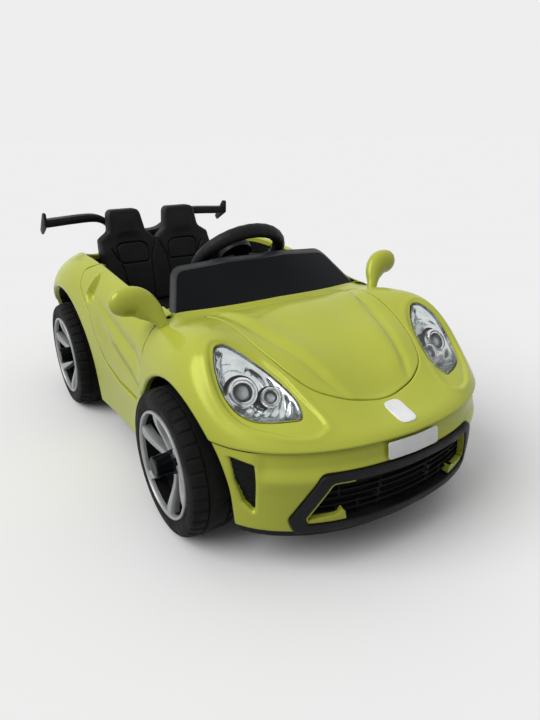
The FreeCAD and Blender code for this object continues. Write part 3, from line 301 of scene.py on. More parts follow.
# cuts triangles along f = 0, dropping the negative side if asked
def split(m, f, drop):
    p, n, t = m
    f = np.where(np.abs(f) < 1e-5, 1e-5, f)
    s = f[t] > 0
    k = s.sum(1)
    out = [t[k == 3]]
    if not drop:
        out.append(t[k == 0])
    mix = (k == 1) | (k == 2)
    tm = t[mix]
    if len(tm):
        up = k[mix] == 1
        lone = np.argmax(s[mix] == up[:, None], axis=1)
        r = np.arange(len(tm))
        a = tm[r, lone]
        b = tm[r, (lone + 1) % 3]
        c = tm[r, (lone + 2) % 3]
        e = np.sort(np.vstack([np.stack([a, b], 1), np.stack([a, c], 1)]), axis=1)
        pairs, back = np.unique(e, axis=0, return_inverse=True)
        back = back.reshape(-1)
        i, j = pairs.T
        w = (f[i] / (f[i] - f[j]))[:, None]
        first = len(p)
        p = np.vstack([p, p[i] + (p[j] - p[i]) * w])
        n = np.vstack([n, n[i] + (n[j] - n[i]) * w])
        ab = first + back[:len(a)]
        ac = first + back[len(a):]
        one = np.stack([a, ab, ac], 1)
        two = np.vstack([np.stack([ab, b, c], 1), np.stack([ab, c, ac], 1)])
        if drop:
            out.append(one[up])
            out.append(two[np.r_[~up, ~up]])
        else:
            out += [one, two]
    t = np.vstack(out)
    used, t = np.unique(t, return_inverse=True)
    return p[used], n[used], t.reshape(-1, 3)


# shares of the radius where a rolled edge is cut, and how near a cut an open edge lies
ROLL_STEPS = (0.1, 0.32, 0.65, 1.0)
EDGE_NEAR = 0.5


# piece kept where every cut is positive, each a field with the radius and depth of its rolled edge
def panel(base, cuts, relief=None, inset=0.0, creases=()):
    m = base
    for field, radius, depth in cuts:
        m = split(m, field(m[0]), True)
    for field, radius, depth in cuts:
        if radius:
            for level in ROLL_STEPS:
                m = split(m, field(m[0]) - level * radius, False)
    for field, levels in creases:
        for level in levels:
            m = split(m, field(m[0]) - level, False)
    p, n, t = m
    n = n / np.maximum(np.linalg.norm(n, axis=1), 1e-9)[:, None]
    h = np.full(len(p), -inset)
    if relief is not None:
        h = h + relief(p)
    for field, radius, depth in cuts:
        if radius:
            d = np.clip(field(p) / radius, 0, 1)
            h = h - depth * (1 - np.sqrt(np.maximum(1 - (1 - d) ** 2, 0)))
    return p, n, t, p + n * h[:, None]


# walls from the open edge where a cut is zero, one strip per move
def skirt(piece, field, *moves):
    p, n, t, q = piece
    e = np.vstack([t[:, [0, 1]], t[:, [1, 2]], t[:, [2, 0]]])
    _, back, count = np.unique(np.sort(e, 1), axis=0, return_inverse=True, return_counts=True)
    e = e[count[back.reshape(-1)] == 1]
    near = np.abs(field(p)) < EDGE_NEAR
    e = e[near[e].all(1)]
    if not len(e):
        return np.zeros((0, 3)), []
    ids, e = np.unique(e, return_inverse=True)
    e = e.reshape(-1, 2)
    lines = [q[ids]]
    for move in moves:
        lines.append(move(lines[-1].copy(), n[ids]))
    faces = []
    k = len(ids)
    for s in range(len(moves)):
        for a, b in e:
            faces.append((b + s * k, a + s * k, a + (s + 1) * k, b + (s + 1) * k))
    return np.vstack(lines), faces


# walls along the normals from an edge
def wall(piece, field, depth):
    return skirt(piece, field, lambda p, n: p - n * depth)


# move of an edge to a plane
def moved(axis, value):
    def go(p, n):
        p[:, axis] = value
        return p
    return go


# faces of a piece, and the same faces turned round at other points
def skin(piece):
    return piece[3], piece[2].tolist()


def reverse(piece, p):
    return p, piece[2][:, ::-1].tolist()


# meshes of the left half and their mirror images, joined along the middle plane
def doubled(*meshes):
    p, f = joined(*meshes)
    n = len(p)
    q, faces = joined((p, f), flipped(p, f))
    twin = np.arange(2 * n)
    mid = np.flatnonzero(np.abs(q[:n, 0]) < 0.01)
    twin[n + mid] = mid
    faces = [twin[face] for face in faces]
    used = np.unique(np.concatenate(faces))
    place = np.zeros(2 * n, int)
    place[used] = np.arange(len(used))
    return q[used], [place[face] for face in faces]


# soft step, nought at a and one at b
def smooth(a, b, x):
    k = np.clip((x - a) / (b - a), 0, 1)
    return k * k * (3 - 2 * k)


# body form, from drawn rails: waist, shoulder, crest, inner, centre
DRAWN = [
    ((0, -492, 192), (0, -485, 201), (0, -463, 209), (0, -442, 216), (0, -424, 222)),
    ((105, -478, 192), (99, -471, 201), (84, -456, 210), (58, -434, 220), (0, -416, 227)),
    ((186, -440, 191), (177, -433, 207), (150, -414, 222), (102, -394, 243), (0, -386, 247)),
    ((232, -388, 190), (225, -380, 217), (190, -362, 241), (128, -342, 269), (0, -338, 269)),
    ((249, -332, 190), (243, -328, 246), (208, -314, 287), (138, -292, 288), (0, -290, 286)),
    ((254, -260, 190), (247, -258, 259), (207, -250, 302), (146, -240, 301), (0, -238, 299)),
    ((250, -150, 186), (242, -150, 254), (206, -150, 294), (152, -149, 303), (0, -148, 308)),
    ((246, -30, 186), (240, -30, 262), (208, -30, 309), (150, -30, 316), (0, -30, 320)),
    ((249, 90, 190), (243, 90, 268), (208, 90, 321), (150, 90, 328), (0, 90, 332)),
    ((258, 180, 200), (250, 180, 274), (207, 180, 329), (145, 180, 334), (0, 180, 336)),
    ((267, 272, 212), (257, 271, 280), (204, 268, 329), (140, 266, 335), (0, 265, 336)),
    ((258, 372, 214), (244, 366, 272), (192, 352, 314), (125, 340, 325), (0, 337, 329)),
    ((214, 442, 214), (202, 433, 260), (156, 408, 298), (98, 390, 311), (0, 383, 316)),
    ((118, 482, 214), (110, 473, 255), (84, 447, 288), (50, 424, 302), (0, 412, 308)),
    ((0, 495, 214), (0, 486, 253), (0, 460, 285), (0, 438, 297), (0, 420, 304)),
]


# cubic curve through values at knots
def spline(knots, values):
    knots = np.asarray(knots, float)
    values = np.asarray(values, float)
    n = len(knots)
    h = np.diff(knots)
    s = np.diff(values) / h
    a = np.eye(n)
    r = np.zeros(n)
    for i in range(1, n - 1):
        a[i, i - 1] = h[i - 1]
        a[i, i] = 2 * (h[i - 1] + h[i])
        a[i, i + 1] = h[i]
        r[i] = 6 * (s[i] - s[i - 1])
    bend = np.linalg.solve(a, r)

    def value(x):
        x = np.asarray(x, float)
        i = np.clip(np.searchsorted(knots, x) - 1, 0, n - 2)
        u = (knots[i + 1] - x) / h[i]
        v = 1 - u
        curve = (u ** 3 - u) * bend[i] + (v ** 3 - v) * bend[i + 1]
        return u * values[i] + v * values[i + 1] + curve * h[i] ** 2 / 6

    return value


# two lower rails: how far each tucks in under the waist, their heights and the base
LOW_TUCK = 11
MID_TUCK = 4
LOW_Z = 22.0
MID_Z = 105.0
BASE_Z = 2.0
# poles between two stations and between two rails, and stations shared across the middle
PER_STATION = 3
PER_RAIL = (1, 2, 3, 4, 3, 4)
WRAP = 3


# length run along a line at each of its points
def running(line, least=0.0):
    steps = np.linalg.norm(np.diff(line, axis=0), axis=1)
    return np.r_[0, np.cumsum(np.maximum(steps, least))]


def body_poles():
    rows = []
    for st in DRAWN:
        w = np.array(st[0], float)
        q = np.array(st[-1], float)
        d = math.hypot(q[0] - w[0], q[1] - w[1])
        low = w + (q - w) * LOW_TUCK / d
        mid = w + (q - w) * MID_TUCK / d
        low[2] = LOW_Z
        mid[2] = MID_Z
        rows.append([low, mid] + [np.array(p, float) for p in st])
    rows = np.array(rows)
    rows = np.concatenate([rows[WRAP:0:-1] * FLIP, rows, rows[-2:-2 - WRAP:-1] * FLIP])
    s = running(rows[:, 2])
    s -= s[WRAP]
    knots = s[WRAP:-WRAP]
    steps = [np.linspace(a, b, PER_STATION, endpoint=False) for a, b in zip(knots, knots[1:])]
    at = np.concatenate(steps + [knots[-1:]])
    rails = [[spline(s, rows[:, r, c])(at) for c in range(3)] for r in range(len(PER_RAIL) + 1)]
    grid = []
    for pts in np.array(rails).transpose(2, 0, 1):
        line = np.vstack([pts, pts[-2::-1] * FLIP])
        t = running(line, 1e-3)
        tv = []
        for i, m in enumerate(PER_RAIL):
            tv += [t[i] + k / m * (t[i + 1] - t[i]) for k in range(m)]
        tv.append(t[len(PER_RAIL)])
        row = np.stack([spline(t, line[:, c])(tv) for c in range(3)], 1)
        row[0, 2] = LOW_Z
        grid.append(np.vstack([[row[0, 0], row[0, 1], BASE_Z], row]))
    grid = np.array(grid)
    grid[0, :, 0] = 0
    grid[-1, :, 0] = 0
    grid[:, -1, 0] = 0
    return grid


# weights of n cubic poles at the places x
def basis(n, x):
    k = np.r_[[0] * 4, np.arange(1, n - 3), [n - 3] * 4].astype(float)
    b = np.zeros((len(x), n + 3))
    for i in range(n + 3):
        b[:, i] = (x >= k[i]) & (x < k[i + 1])
    b[x >= n - 3, n - 1] = 1
    for d in (1, 2, 3):
        for i in range(n + 3 - d):
            left = k[i + d] - k[i]
            right = k[i + d + 1] - k[i + 1]
            new = np.zeros(len(x))
            if left > 0:
                new = new + (x - k[i]) / left * b[:, i]
            if right > 0:
                new = new + (k[i + d + 1] - x) / right * b[:, i + 1]
            b[:, i] = new
    return b[:, :n]


# points, normals and triangles of a grid of points
def grid_mesh(p):
    a = np.arange(p.shape[0] * p.shape[1]).reshape(p.shape[:2])
    n = np.cross(np.gradient(p, axis=0), np.gradient(p, axis=1))
    length = np.linalg.norm(n, axis=2)
    n = n / np.maximum(length, 1e-9)[..., None]
    t = np.vstack([
        np.stack([a[:-1, :-1], a[1:, :-1], a[1:, 1:]], -1).reshape(-1, 3),
        np.stack([a[:-1, :-1], a[1:, 1:], a[:-1, 1:]], -1).reshape(-1, 3)])
    return p.reshape(-1, 3), n.reshape(-1, 3), t


POLES = body_poles()
ALONG = POLES.shape[0] - 3
ROUND = POLES.shape[1] - 3


def form(u, v):
    m = grid_mesh(np.einsum("ui,vj,ijc->uvc", basis(ALONG + 3, u), basis(ROUND + 3, v), POLES))
    m[1][np.abs(m[0][:, 0]) < 1e-4, 0] = 0
    return m


# left half of the body, then finer meshes of the nose, the chin and the tip
half = form(np.linspace(0, ALONG, 5 * ALONG + 1), np.linspace(0, ROUND, 6 * ROUND + 1))
nose = form(np.linspace(0, 15, 106), np.linspace(4.5, ROUND, 105))
chin = form(np.linspace(0, 15, 121), np.linspace(0.3, 5.2, 111))
tip = form(np.linspace(0, 5, 81), np.linspace(4.5, ROUND, 161))

# outlines on the body, each corner with its radius
HOOD = outline(full([
    (12, -432, 200), (64, -421, 200), (102, -397, 200), (120, -360, 200), (134, -310, 200),
    (142, -250, 200), (152, -180, 6), (60, -188, 60)]), 8)
LAMP = outline([
    (134, -424, 9), (125, -400, 200), (131, -376, 200), (142, -345, 200), (161, -312, 200),
    (178, -296, 200), (196, -299, 200), (210, -326, 200), (213, -350, 200), (206, -376, 200),
    (192, -395, 200), (168, -410, 200)], 9)
BAY = outline([
    (112, -447, 14), (112, -428, 60), (119, -399, 200), (127, -362, 200), (142, -326, 200),
    (166, -296, 200), (200, -290, 200), (217, -322, 200), (220, -354, 200), (212, -382, 200),
    (198, -404, 200), (160, -441, 200), (134, -452, 20)], 7)
COCKPIT = outline(full([(196, -115, 30), (204, 20, 60), (204, 250, 60), (184, 366, 50), (138, 418, 50)]))
DOOR = outline([
    (-104, 146, 12), (-143, 198, 40), (-151, 240, 60), (-146, 420, 0), (150, 420, 0), (150, 331, 10),
    (188, 312, 12), (176, 286, 16), (108, 240, 40), (92, 206, 30), (52, 162, 30), (-14, 144, 60)])
GRILLE = outline(full([(165, 70, 8), (172, 90, 12), (137, 160, 14)]))
EYE = outline(full([(150, 82, 6), (153, 93, 8), (124, 148, 10)]))
INTAKE = outline([(231, 178, 3), (210, 172, 3), (207, 94, 3), (219, 110, 10), (227, 140, 20)], 6)
FLARE = outline([(-186, 206, 0), (-142, 176, 30), (-124, 140, 30), (-121, 20, 0), (-186, 20, 0)])


# cuts: positive where a piece is kept
def arch(p, axle, radius):
    dy = p[:, 1] - axle
    return np.where(p[:, 2] > AXLE_Z, np.hypot(dy, p[:, 2] - AXLE_Z), np.abs(dy)) - radius


def front_arch(p):
    return np.minimum(arch(p, FRONT_AXLE, FRONT_ARCH), -inside(FLARE, p[:, 1], p[:, 2]))


def rear_arch(p):
    return arch(p, REAR_AXLE, REAR_ARCH)


# cut along an outline that is drawn on two of the axes
def within(line, a, b, less=0.0):
    return lambda p: inside(line, p[:, a], p[:, b]) - less


# cut along an outline on the front of the nose
def on_nose(line):
    return lambda p: np.where(p[:, 1] < NOSE_END, inside(line, p[:, 0], p[:, 2]), -FAR)


# cut that keeps the other side
def beyond(cut):
    return lambda p: -cut(p)


off_hood = beyond(within(HOOD, 0, 1))
off_lamp = beyond(within(LAMP, 0, 1))
off_cockpit = beyond(within(COCKPIT, 0, 1))
in_grille = on_nose(GRILLE)
off_grille = beyond(in_grille)
off_intake = beyond(on_nose(INTAKE))
in_eye = on_nose(EYE)
off_eye = beyond(in_eye)


def bay_line(p):
    return np.where(p[:, 2] > BAY_LOW, inside(BAY, p[:, 0], p[:, 1]), -FAR)


def in_door(p):
    return np.where(p[:, 0] > DOOR_IN_X, inside(DOOR, p[:, 1], p[:, 2]), -DOOR_FAR)


off_door = beyond(in_door)


def above(z):
    return lambda p: p[:, 2] - z


def nose_lip(p):
    return np.maximum(p[:, 2] - NOSE_LIP_Z, p[:, 1] - NOSE_END)


def tail_lip(p):
    return np.maximum(p[:, 2] - TAIL_LIP_Z, TAIL_END - p[:, 1])


# distance along one axis from a line that runs along y
def beside(line, p, axis=0):
    y = np.array([q[1] for q in line], float)
    x = np.array([q[0] for q in line], float)
    order = np.argsort(y)
    return p[:, axis] - np.interp(p[:, 1], y[order], x[order])


# fold of the hood, from the windscreen to the nose
RIDGE = [(120, -175), (117, -191), (95, -268), (72, -344), (60, -387), (47, -415), (40, -430)]


# raised and sunk forms of the body face: hood fold, lamp bay, then the cowl
def relief(p):
    x, y, z = p.T
    h = np.zeros(len(p))
    d = beside(RIDGE, p)
    run = smooth(-428, -385, y) * (1 - smooth(-200, -168, y)) * (z > 205)
    h += run * 2.6 * np.exp(-(np.minimum(d, 0) / 26) ** 2) * np.exp(-(np.maximum(d, 0) / 7) ** 2)
    width = np.interp(y, (-430, -330, -180), (16, 26, 24))
    k = np.clip((d - 3) / width, 0, 1)
    h -= run * 3.4 * np.sin(np.pi * k) ** 2
    up = smooth(200, 208, z)
    bay = inside(BAY, x, y)
    h -= 3.4 * smooth(-1.5, 3.5, bay) * up * (1 - 0.7 * smooth(-340, -300, y))
    h += 1.2 * np.exp(-((bay + 4) / 4) ** 2) * up
    h -= 5 * smooth(-225, -170, y) * (1 - smooth(-112, -60, y)) * (1 - smooth(196, 224, x)) * (z > 250)
    return h


# body shell with its openings
body = panel(half, [
    (above(BODY_LOW), 0, 0), (nose_lip, 4, 4), (tail_lip, 4, 4), (off_cockpit, 6, 6), (off_hood, 2, 2.4),
    (off_lamp, 2, 2), (off_door, 1.6, 1.4), (front_arch, 5, 4), (rear_arch, 6, 5)],
    relief, 0.0, [(bay_line, (-2, 0.5, 3))])

# inner ends of the wheel wells
FRONT_WELL_X = 150
REAR_WELL_X = 184
WELL_SPARE = 2
WELL_LOW = 62


def well_disc(x, axle, radius):
    radius += WELL_SPARE
    ang = np.linspace(0, math.pi, 33)
    pts = [(x, axle + radius * math.cos(a), AXLE_Z + radius * math.sin(a)) for a in ang]
    pts += [(x, axle - radius, WELL_LOW), (x, axle + radius, WELL_LOW)]
    return np.array(pts), [list(range(len(pts)))]


# first moves of the cockpit's edge and of the front arch's edge
def lowered(p, n):
    return p - (0, 0, 9)


def inward(p, n):
    return p - (7, 0, 0)


cockpit_wall = skirt(body, off_cockpit, lowered)
front_wall = skirt(body, front_arch, inward)
rear_wall = wall(body, rear_arch, 7)
parts = [
    skin(body), wall(body, nose_lip, 14), wall(body, tail_lip, 14),
    wall(body, off_hood, 6), wall(body, off_lamp, 12), cockpit_wall,
    skirt(body, off_door, moved(0, JAMB_X)), front_wall, rear_wall, wall(body, above(BODY_LOW), 5)]
show("body_shell", *doubled(*parts), paint, ["upper_body"])


# a further strip from the inner edge of a wall
def onward(mesh, move):
    p, f = mesh
    k = len(p) // 2
    first = p[k:]
    return np.vstack([first, move(first.copy(), None)]), f


# wheel wells, their inner ends and the cockpit's low walls in the darkest plastic; in the wheel wells this
# dark is painted shade
wells = [
    onward(front_wall, moved(0, FRONT_WELL_X)), onward(rear_wall, moved(0, REAR_WELL_X)),
    well_disc(FRONT_WELL_X, FRONT_AXLE, FRONT_ARCH), well_disc(REAR_WELL_X, REAR_AXLE, REAR_ARCH),
    onward(cockpit_wall, moved(2, FLOOR_TOP))]

# wall under the door opening, and a strip of floor up to it
SILL_LOW = 66
STRIP_LOW = 64
sill_y = np.linspace(-118, 176, 74)
sill_z = np.linspace(120, 330, 211)
low_edge = []
for y in sill_y:
    open_at = np.flatnonzero(inside(DOOR, np.full(len(sill_z), y), sill_z) > -2)
    if len(open_at):
        low_edge.append((JAMB_X, y, sill_z[open_at[0]]))
sill = np.array(low_edge)
count = len(sill)
wells.append((np.vstack([sill, sill * (1, 1, 0) + (0, 0, SILL_LOW)]),
              [(k, k + 1, k + 1 + count, k + count) for k in range(count - 1)]))
strip = np.array([(120, -134), (234, -134), (234, 126), (120, 126)], float)
wells.append((np.c_[strip, np.full(4, STRIP_LOW)], [[0, 1, 2, 3]]))
show("painted_shade_wells_and_floor", *doubled(*wells), dark_plastic_and_shade)

# hood panel, a seam inside its opening
in_hood = within(HOOD, 0, 1, SEAM)
hood = panel(half, [(in_hood, 2, 2.4)], relief)
show("hood_panel", *doubled(skin(hood), wall(hood, in_hood, 5)), paint, ["hood"])

# doors with the channel that runs from the scoop to the front wheel: z, y of its two lines
EAVE = [(290, 160), (285, 112), (283, 97), (268, 0), (250, -130), (247, -160)]
CREST = [(289, 160), (283, 112), (280, 90), (243, 28), (216, -41), (201, -102), (190, -122), (180, -160)]
BLUR = np.linspace(-3, 3, 7)
DOOR_DEEP = 9
SCOOP = outline([(117, 318, 6), (133, 276, 14), (120, 262, 10), (100, 266, 8), (96, 300, 20)], 6)


def door_relief(p):
    y, z = p[:, 1], p[:, 2]
    top = beside(EAVE, p, 2)
    mid = beside(CREST, p, 2)
    gap = np.maximum(mid - top, 1.0)
    fade = smooth(104, 50, y) * (1 - 0.5 * smooth(-90, -150, y))
    depth = np.zeros(len(p))
    for soft in BLUR:
        under = -(mid + soft)
        share = -(top + soft) / gap
        face = np.interp(under, (0, 28, 54), (0.2, 0.8, 0.4))
        channel = np.interp(share, (0, 0.5, 1), (0, 1, 0.2))
        depth += np.where(under > 0, face, channel) / len(BLUR)
    h = -np.minimum(DOOR_DEEP, 0.19 * gap) * fade * depth
    s = inside(SCOOP, y, z)
    h -= 10 * smooth(-2, 8, s) * smooth(92, 122, y)
    h += 1.6 * np.exp(-((s + 3) / 3) ** 2) * smooth(105, 118, y)
    return h


def door_edge(p):
    return in_door(p) - DOOR_GAP


side_form = form(np.linspace(14, 30, 177), np.linspace(2, 13, 133))
door = panel(side_form, [(door_edge, 1.6, 1.4), (off_cockpit, 6, 6)], door_relief)


# the wall behind the front edge leans back, so that it passes the wing as the door swings
def leaned(p, n):
    p[:, 0] -= 7
    p[:, 1] += 5.5 * smooth(-100, -150, p[:, 1])
    return p


def to_back(p, n):
    p[:, 0] = np.minimum(p[:, 0] + 5, DOOR_BACK_X)
    return p


def leaned_back(p, n):
    return to_back(leaned(p, n), n)


inner = leaned_back(door[3].copy(), None)
door_mesh = joined(
    skin(door), reverse(door, inner), skirt(door, door_edge, leaned, to_back),
    skirt(door, off_cockpit, leaned_back))
show("door_left_skin", *door_mesh, paint, ["door_left"], "door_left")
show("door_right_skin", *flipped(*door_mesh), paint, ["door_right"], "door_right")


# bumpers
def bumper_relief(p):
    x, z = p[:, 0], p[:, 2]
    h = -4.5 * smooth(150, 172, z) * smooth(212, 196, x)
    h += 1.5 * np.exp(-((z - 150) / 12) ** 2) * smooth(212, 196, x)
    return h


def bumper_zone(p):
    return np.minimum(NOSE_LIP_Z - SEAM - p[:, 2], NOSE_END - p[:, 1])


# how far a bumper lies inside the body's form, and where its wheel wells end
BUMPER_IN = 3.0
CHIN_WELL_X = 160.0
TAIL_WELL_X = 190.0
bumper = panel(chin, [
    (above(BUMPER_LOW), 5, 5), (bumper_zone, 0, 0), (front_arch, 4, 4), (off_grille, 3, 3),
    (off_intake, 4, 4)], bumper_relief, BUMPER_IN)
bumper_wall = wall(bumper, front_arch, 6)
show("front_bumper_skin", *doubled(
    skin(bumper), wall(bumper, above(BUMPER_LOW), 8), bumper_wall,
    wall(bumper, off_grille, 12), wall(bumper, off_intake, 9)), paint, ["front_bumper"])


def tail_zone(p):
    return np.minimum(TAIL_LIP_Z - SEAM - p[:, 2], p[:, 1] - TAIL_END)


def tail_relief(p):
    x, z = p[:, 0], p[:, 2]
    return -4 * smooth(120, 128, z) * smooth(182, 174, z) * smooth(150, 138, x)


tail = panel(half, [(above(BODY_LOW), 5, 5), (tail_zone, 0, 0), (rear_arch, 4, 4)], tail_relief, BUMPER_IN)
tail_wall = wall(tail, rear_arch, 6)
show("rear_bumper_skin", *doubled(skin(tail), wall(tail, above(BODY_LOW), 8), tail_wall),
     paint, ["rear_bumper"])
# wheel wells of the bumpers in the darkest plastic, a painted shade
show("bumper_wells_painted_shade", *doubled(
    onward(bumper_wall, moved(0, CHIN_WELL_X)), onward(tail_wall, moved(0, TAIL_WELL_X))), dark_plastic_and_shade)


# angles of n steps round a circle
def circle(n):
    return np.linspace(0, 2 * math.pi, n, endpoint=False)


# two directions across an axis, and its own
def ring_frame(axis):
    w = np.array(axis, float)
    w /= np.linalg.norm(w)
    u = np.cross((0, 0, 1), w)
    if np.linalg.norm(u) < 1e-6:
        u = np.array((1.0, 0, 0))
    u /= np.linalg.norm(u)
    return u, np.cross(w, u), w


# profile of radius and height, turned round an axis
def turned(profile, at, axis, steps, closed=False, shape=None):
    u, v, w = ring_frame(axis)
    rows = []
    for k in range(steps):
        a = 2 * math.pi * k / steps
        for i, (r, h) in enumerate(profile):
            if shape is not None:
                r = r + shape(k, i, h)
            rows.append(np.array(at) + (u * math.cos(a) + v * math.sin(a)) * r + w * h)
    m = len(profile)
    faces = []
    for k in range(steps):
        j = (k + 1) % steps
        for i in range(m if closed else m - 1):
            n = (i + 1) % m
            faces.append((k * m + i, j * m + i, j * m + n, k * m + n))
    return np.array(rows), faces


# closed lines joined one after the other, with a cap at each end
def swept(lines):
    p = np.vstack(lines)
    m = len(lines[0])
    faces = []
    for s in range(len(lines) - 1):
        for i in range(m):
            j = (i + 1) % m
            faces.append((s * m + i, s * m + j, (s + 1) * m + j, (s + 1) * m + i))
    faces.append(list(range(m))[::-1])
    faces.append([(len(lines) - 1) * m + i for i in range(m)])
    return p, faces


# wheels: profiles as radius and distance along the axle, outwards positive
TREAD_STEPS = 216
TREAD_OUT = 35.2
ROUND_IN = 14.5
ROUND_OUT = 17.5
AXLE_WAY = (1, 0, 0)
HUB = (0, 0, 0)


# depth of the tread's grooves: two round the tyre, shoulder cuts, and slanted cuts on one half
def tread(k, i, h):
    a = abs(h)
    if a > TREAD_OUT or a < 0.01:
        return 0.0
    if ROUND_IN < a < ROUND_OUT:
        return -2.6
    if a >= ROUND_OUT and k % 6 == 0:
        return -2.2
    if a <= ROUND_IN and h < 0 and (k + int(a)) % 9 == 0:
        return -1.8
    return 0.0


HALF_TYRE = [
    (111.9, 0.0), (112, 7), (112, 14.2), (111.9, 14.8), (111.8, 17.2), (111.7, 17.8), (111, 24),
    (109.5, 30), (107, 34.5), (104.5, 36.4), (102, 36.9), (101.2, 36.5), (100, 37.1), (95, 37.5),
    (90, 37.2), (88.5, 36.6), (87, 36.9), (84, 36), (81.5, 34.5)]
TYRE = [(r, -h) for r, h in reversed(HALF_TYRE)] + HALF_TYRE[1:]
tyre_mesh = turned(TYRE, HUB, AXLE_WAY, TREAD_STEPS, False, tread)
RING = [
    (81.8, 33), (82, 37), (81.2, 38.6), (79.6, 39.2), (78, 38.8), (77, 37.2), (76.6, 34), (76, 8),
    (80.5, 4)]
ring_mesh = turned(RING, HUB, AXLE_WAY, 96, True)
DISH = [(76.7, 33), (75, 12), (68, 4), (58, 1), (30, 3), (20, 9), (12, 9)]
dish_mesh = turned(DISH, HUB, AXLE_WAY, 96)

# curved spokes from the hub to the ring
SPOKES = 6
SPOKE_IN = 11
SPOKE_OUT = 77.5


def spoke(turn):
    lines = []
    for r in np.linspace(SPOKE_IN, SPOKE_OUT, 17):
        k = (r - SPOKE_IN) / (SPOKE_OUT - SPOKE_IN)
        a = turn + 0.36 * (1 - k) ** 1.5
        wide = 3.6 + 0.6 * (1 - k) ** 2 + 3.8 * k ** 2.5
        top = 21 + 15.5 * smooth(0.05, 0.95, k)
        u = np.array((0, math.sin(a), math.cos(a)))
        v = np.array((0, math.cos(a), -math.sin(a)))
        right = [(wide * 0.45, 0.2), (wide, -0.4), (wide + 0.7, -2.2), (wide + 2.0, -14)]
        section = [(-q, h) for q, h in reversed(right)] + right
        lines.append(np.array([u * r + v * s + (top + h, 0, 0) for s, h in section]))
    return swept(lines)


rim_mesh = joined(ring_mesh, *[spoke(math.radians(10 + 360 / SPOKES * k)) for k in range(SPOKES)])
CAP = [
    (0.0, 49.0), (6, 49.1), (12.5, 49.5), (14.6, 49.2), (15.8, 47.6), (16.0, 45), (16.4, 24), (19, 20),
    (19.5, 8)]
cap_mesh = turned(CAP, HUB, AXLE_WAY, 48)
WHEEL_PIECES = (
    ("tyre", tyre_mesh, rubber), ("rim", rim_mesh, silver), ("dish", dish_mesh, dark_plastic_and_shade),
    ("hub_cap", cap_mesh, gloss))
# what makes the left and the right one of a mesh
SIDES = (("left", lambda m: m), ("right", lambda m: flipped(*m)))
for end, axle in (("front", FRONT_AXLE), ("rear", REAR_AXLE)):
    for hand, turn_over in SIDES:
        corner = "%s_%s" % (end, hand)
        for what, (p, f), mat in WHEEL_PIECES:
            placed = turn_over((p + np.array((WHEEL_X, axle, AXLE_Z)), f))
            cad = [] if what == "dish" else [what + "_" + corner]
            show("%s_%s_look" % (what, corner), *placed, mat, cad, "wheel_" + corner, 30)

# headlamps: clear lens over a chrome bowl with two round lamps
BIG_LAMP = (183, -356)
SMALL_LAMP = (152.5, -376)
PIT = (166, -371)
# radius as a share of a lamp's size, and height over its rim, for the shade over its foot
SHELL = [(1.15, -2), (1.08, 0), (0.98, -0.5), (0.9, -3), (0.86, -3), (0.84, -1), (0.74, -1.5)]
CUP = [(0.74, -1.5), (0.66, -5), (0.4, -7)]
DOME = [(0.66, -4.6), (0.6, -1.8), (0.45, 0.2), (0.25, 1.2)]
SHADE = [(1.42, -2.5), (1.3, -1.2), (1.14, -1.5)]
POINT = 0.01
# depth of a lamp's foot under the body face, and its lean to the front
LAMP_FOOT = 11
LAMP_LEAN = -0.45
in_lamp = within(LAMP, 0, 1, 0.5)


# bowl with rings round the big lamp and a hollow beside it
def bowl_relief(p):
    x, y = p[:, 0], p[:, 1]
    d = inside(LAMP, x, y)
    h = -9 * smooth(0, 16, d)
    away = np.hypot(x - BIG_LAMP[0], y - BIG_LAMP[1])
    rings = np.cos(2 * np.pi * away / 8.5) * smooth(3, 9, d) * smooth(20, 27, away)
    hollow = -5 * np.exp(-((x - PIT[0]) ** 2 + (y - PIT[1]) ** 2) / 70)
    return h + rings + hollow


def lens_relief(p):
    return relief(p) * 0.8 + 1.2 * smooth(0, 20, in_lamp(p))


lens_piece = panel(nose, [(in_lamp, 2.5, 1.5)], lens_relief, 0.3)
lens_mesh = joined(skin(lens_piece), wall(lens_piece, in_lamp, 2))
bowl = panel(nose, [(in_lamp, 0, 0)], bowl_relief, 6.5)
bowl_mesh = joined(skin(bowl), wall(bowl, in_lamp, -4.5))


# one lamp standing on the bowl: shell, dome, cup and shade, its size a radius
def round_lamp(x, y, size, lift):
    points, normals, _ = half
    low = 1000 * (points[:, 2] < 150)
    k = np.argmin(np.hypot(points[:, 0] - x, points[:, 1] - y) + low)
    n = normals[k]
    axis = n + np.array((0, LAMP_LEAN, 0))
    axis /= np.linalg.norm(axis)
    at = points[k] - n * LAMP_FOOT

    def sized(profile, up):
        return [(size * r, up + h) for r, h in profile]

    shell = turned([(size * SHELL[0][0], -4)] + sized(SHELL, lift), at, axis, 40)
    dome = turned(sized(DOME, lift) + [(POINT, lift + 1.5)], at, axis, 32)
    cup = turned(sized(CUP, lift) + [(POINT, lift - 7.5)], at, axis, 40)
    shade = turned(sized(SHADE, 0), at, axis, 40)
    return shell, dome, cup, shade


big = round_lamp(*BIG_LAMP, 18, 8)
small = round_lamp(*SMALL_LAMP, 12, 7)
bulbs, domes, cups, shades = [joined(a, b) for a, b in zip(big, small)]
for hand, turn_over in SIDES:
    show("lens_" + hand, *turn_over(lens_mesh), clear, ["headlight_lens_" + hand])
    show("bowl_" + hand, *turn_over(bowl_mesh), chrome, ["headlight_bucket_" + hand], sharp=50)
    show("bulb_" + hand, *turn_over(bulbs), lamp, ["headlight_lamps_" + hand])
    show("cup_" + hand, *turn_over(cups), steel)
    show("shade_" + hand, *turn_over(shades), dark_plastic_and_shade)
    show("dome_" + hand, *turn_over(domes), clear)

# grille: frame and bars
rim_piece = panel(chin, [(in_grille, 3, 3), (off_eye, 2, 2)], None, -1.5)
show("grille_rim", *doubled(
    skin(rim_piece), wall(rim_piece, in_grille, 8), wall(rim_piece, off_eye, 16)),
    black, ["grille_frame"])
BAR_ROWS = (93, 104, 115, 126, 137)
BAR_POSTS = (16, 48, 80, 112)


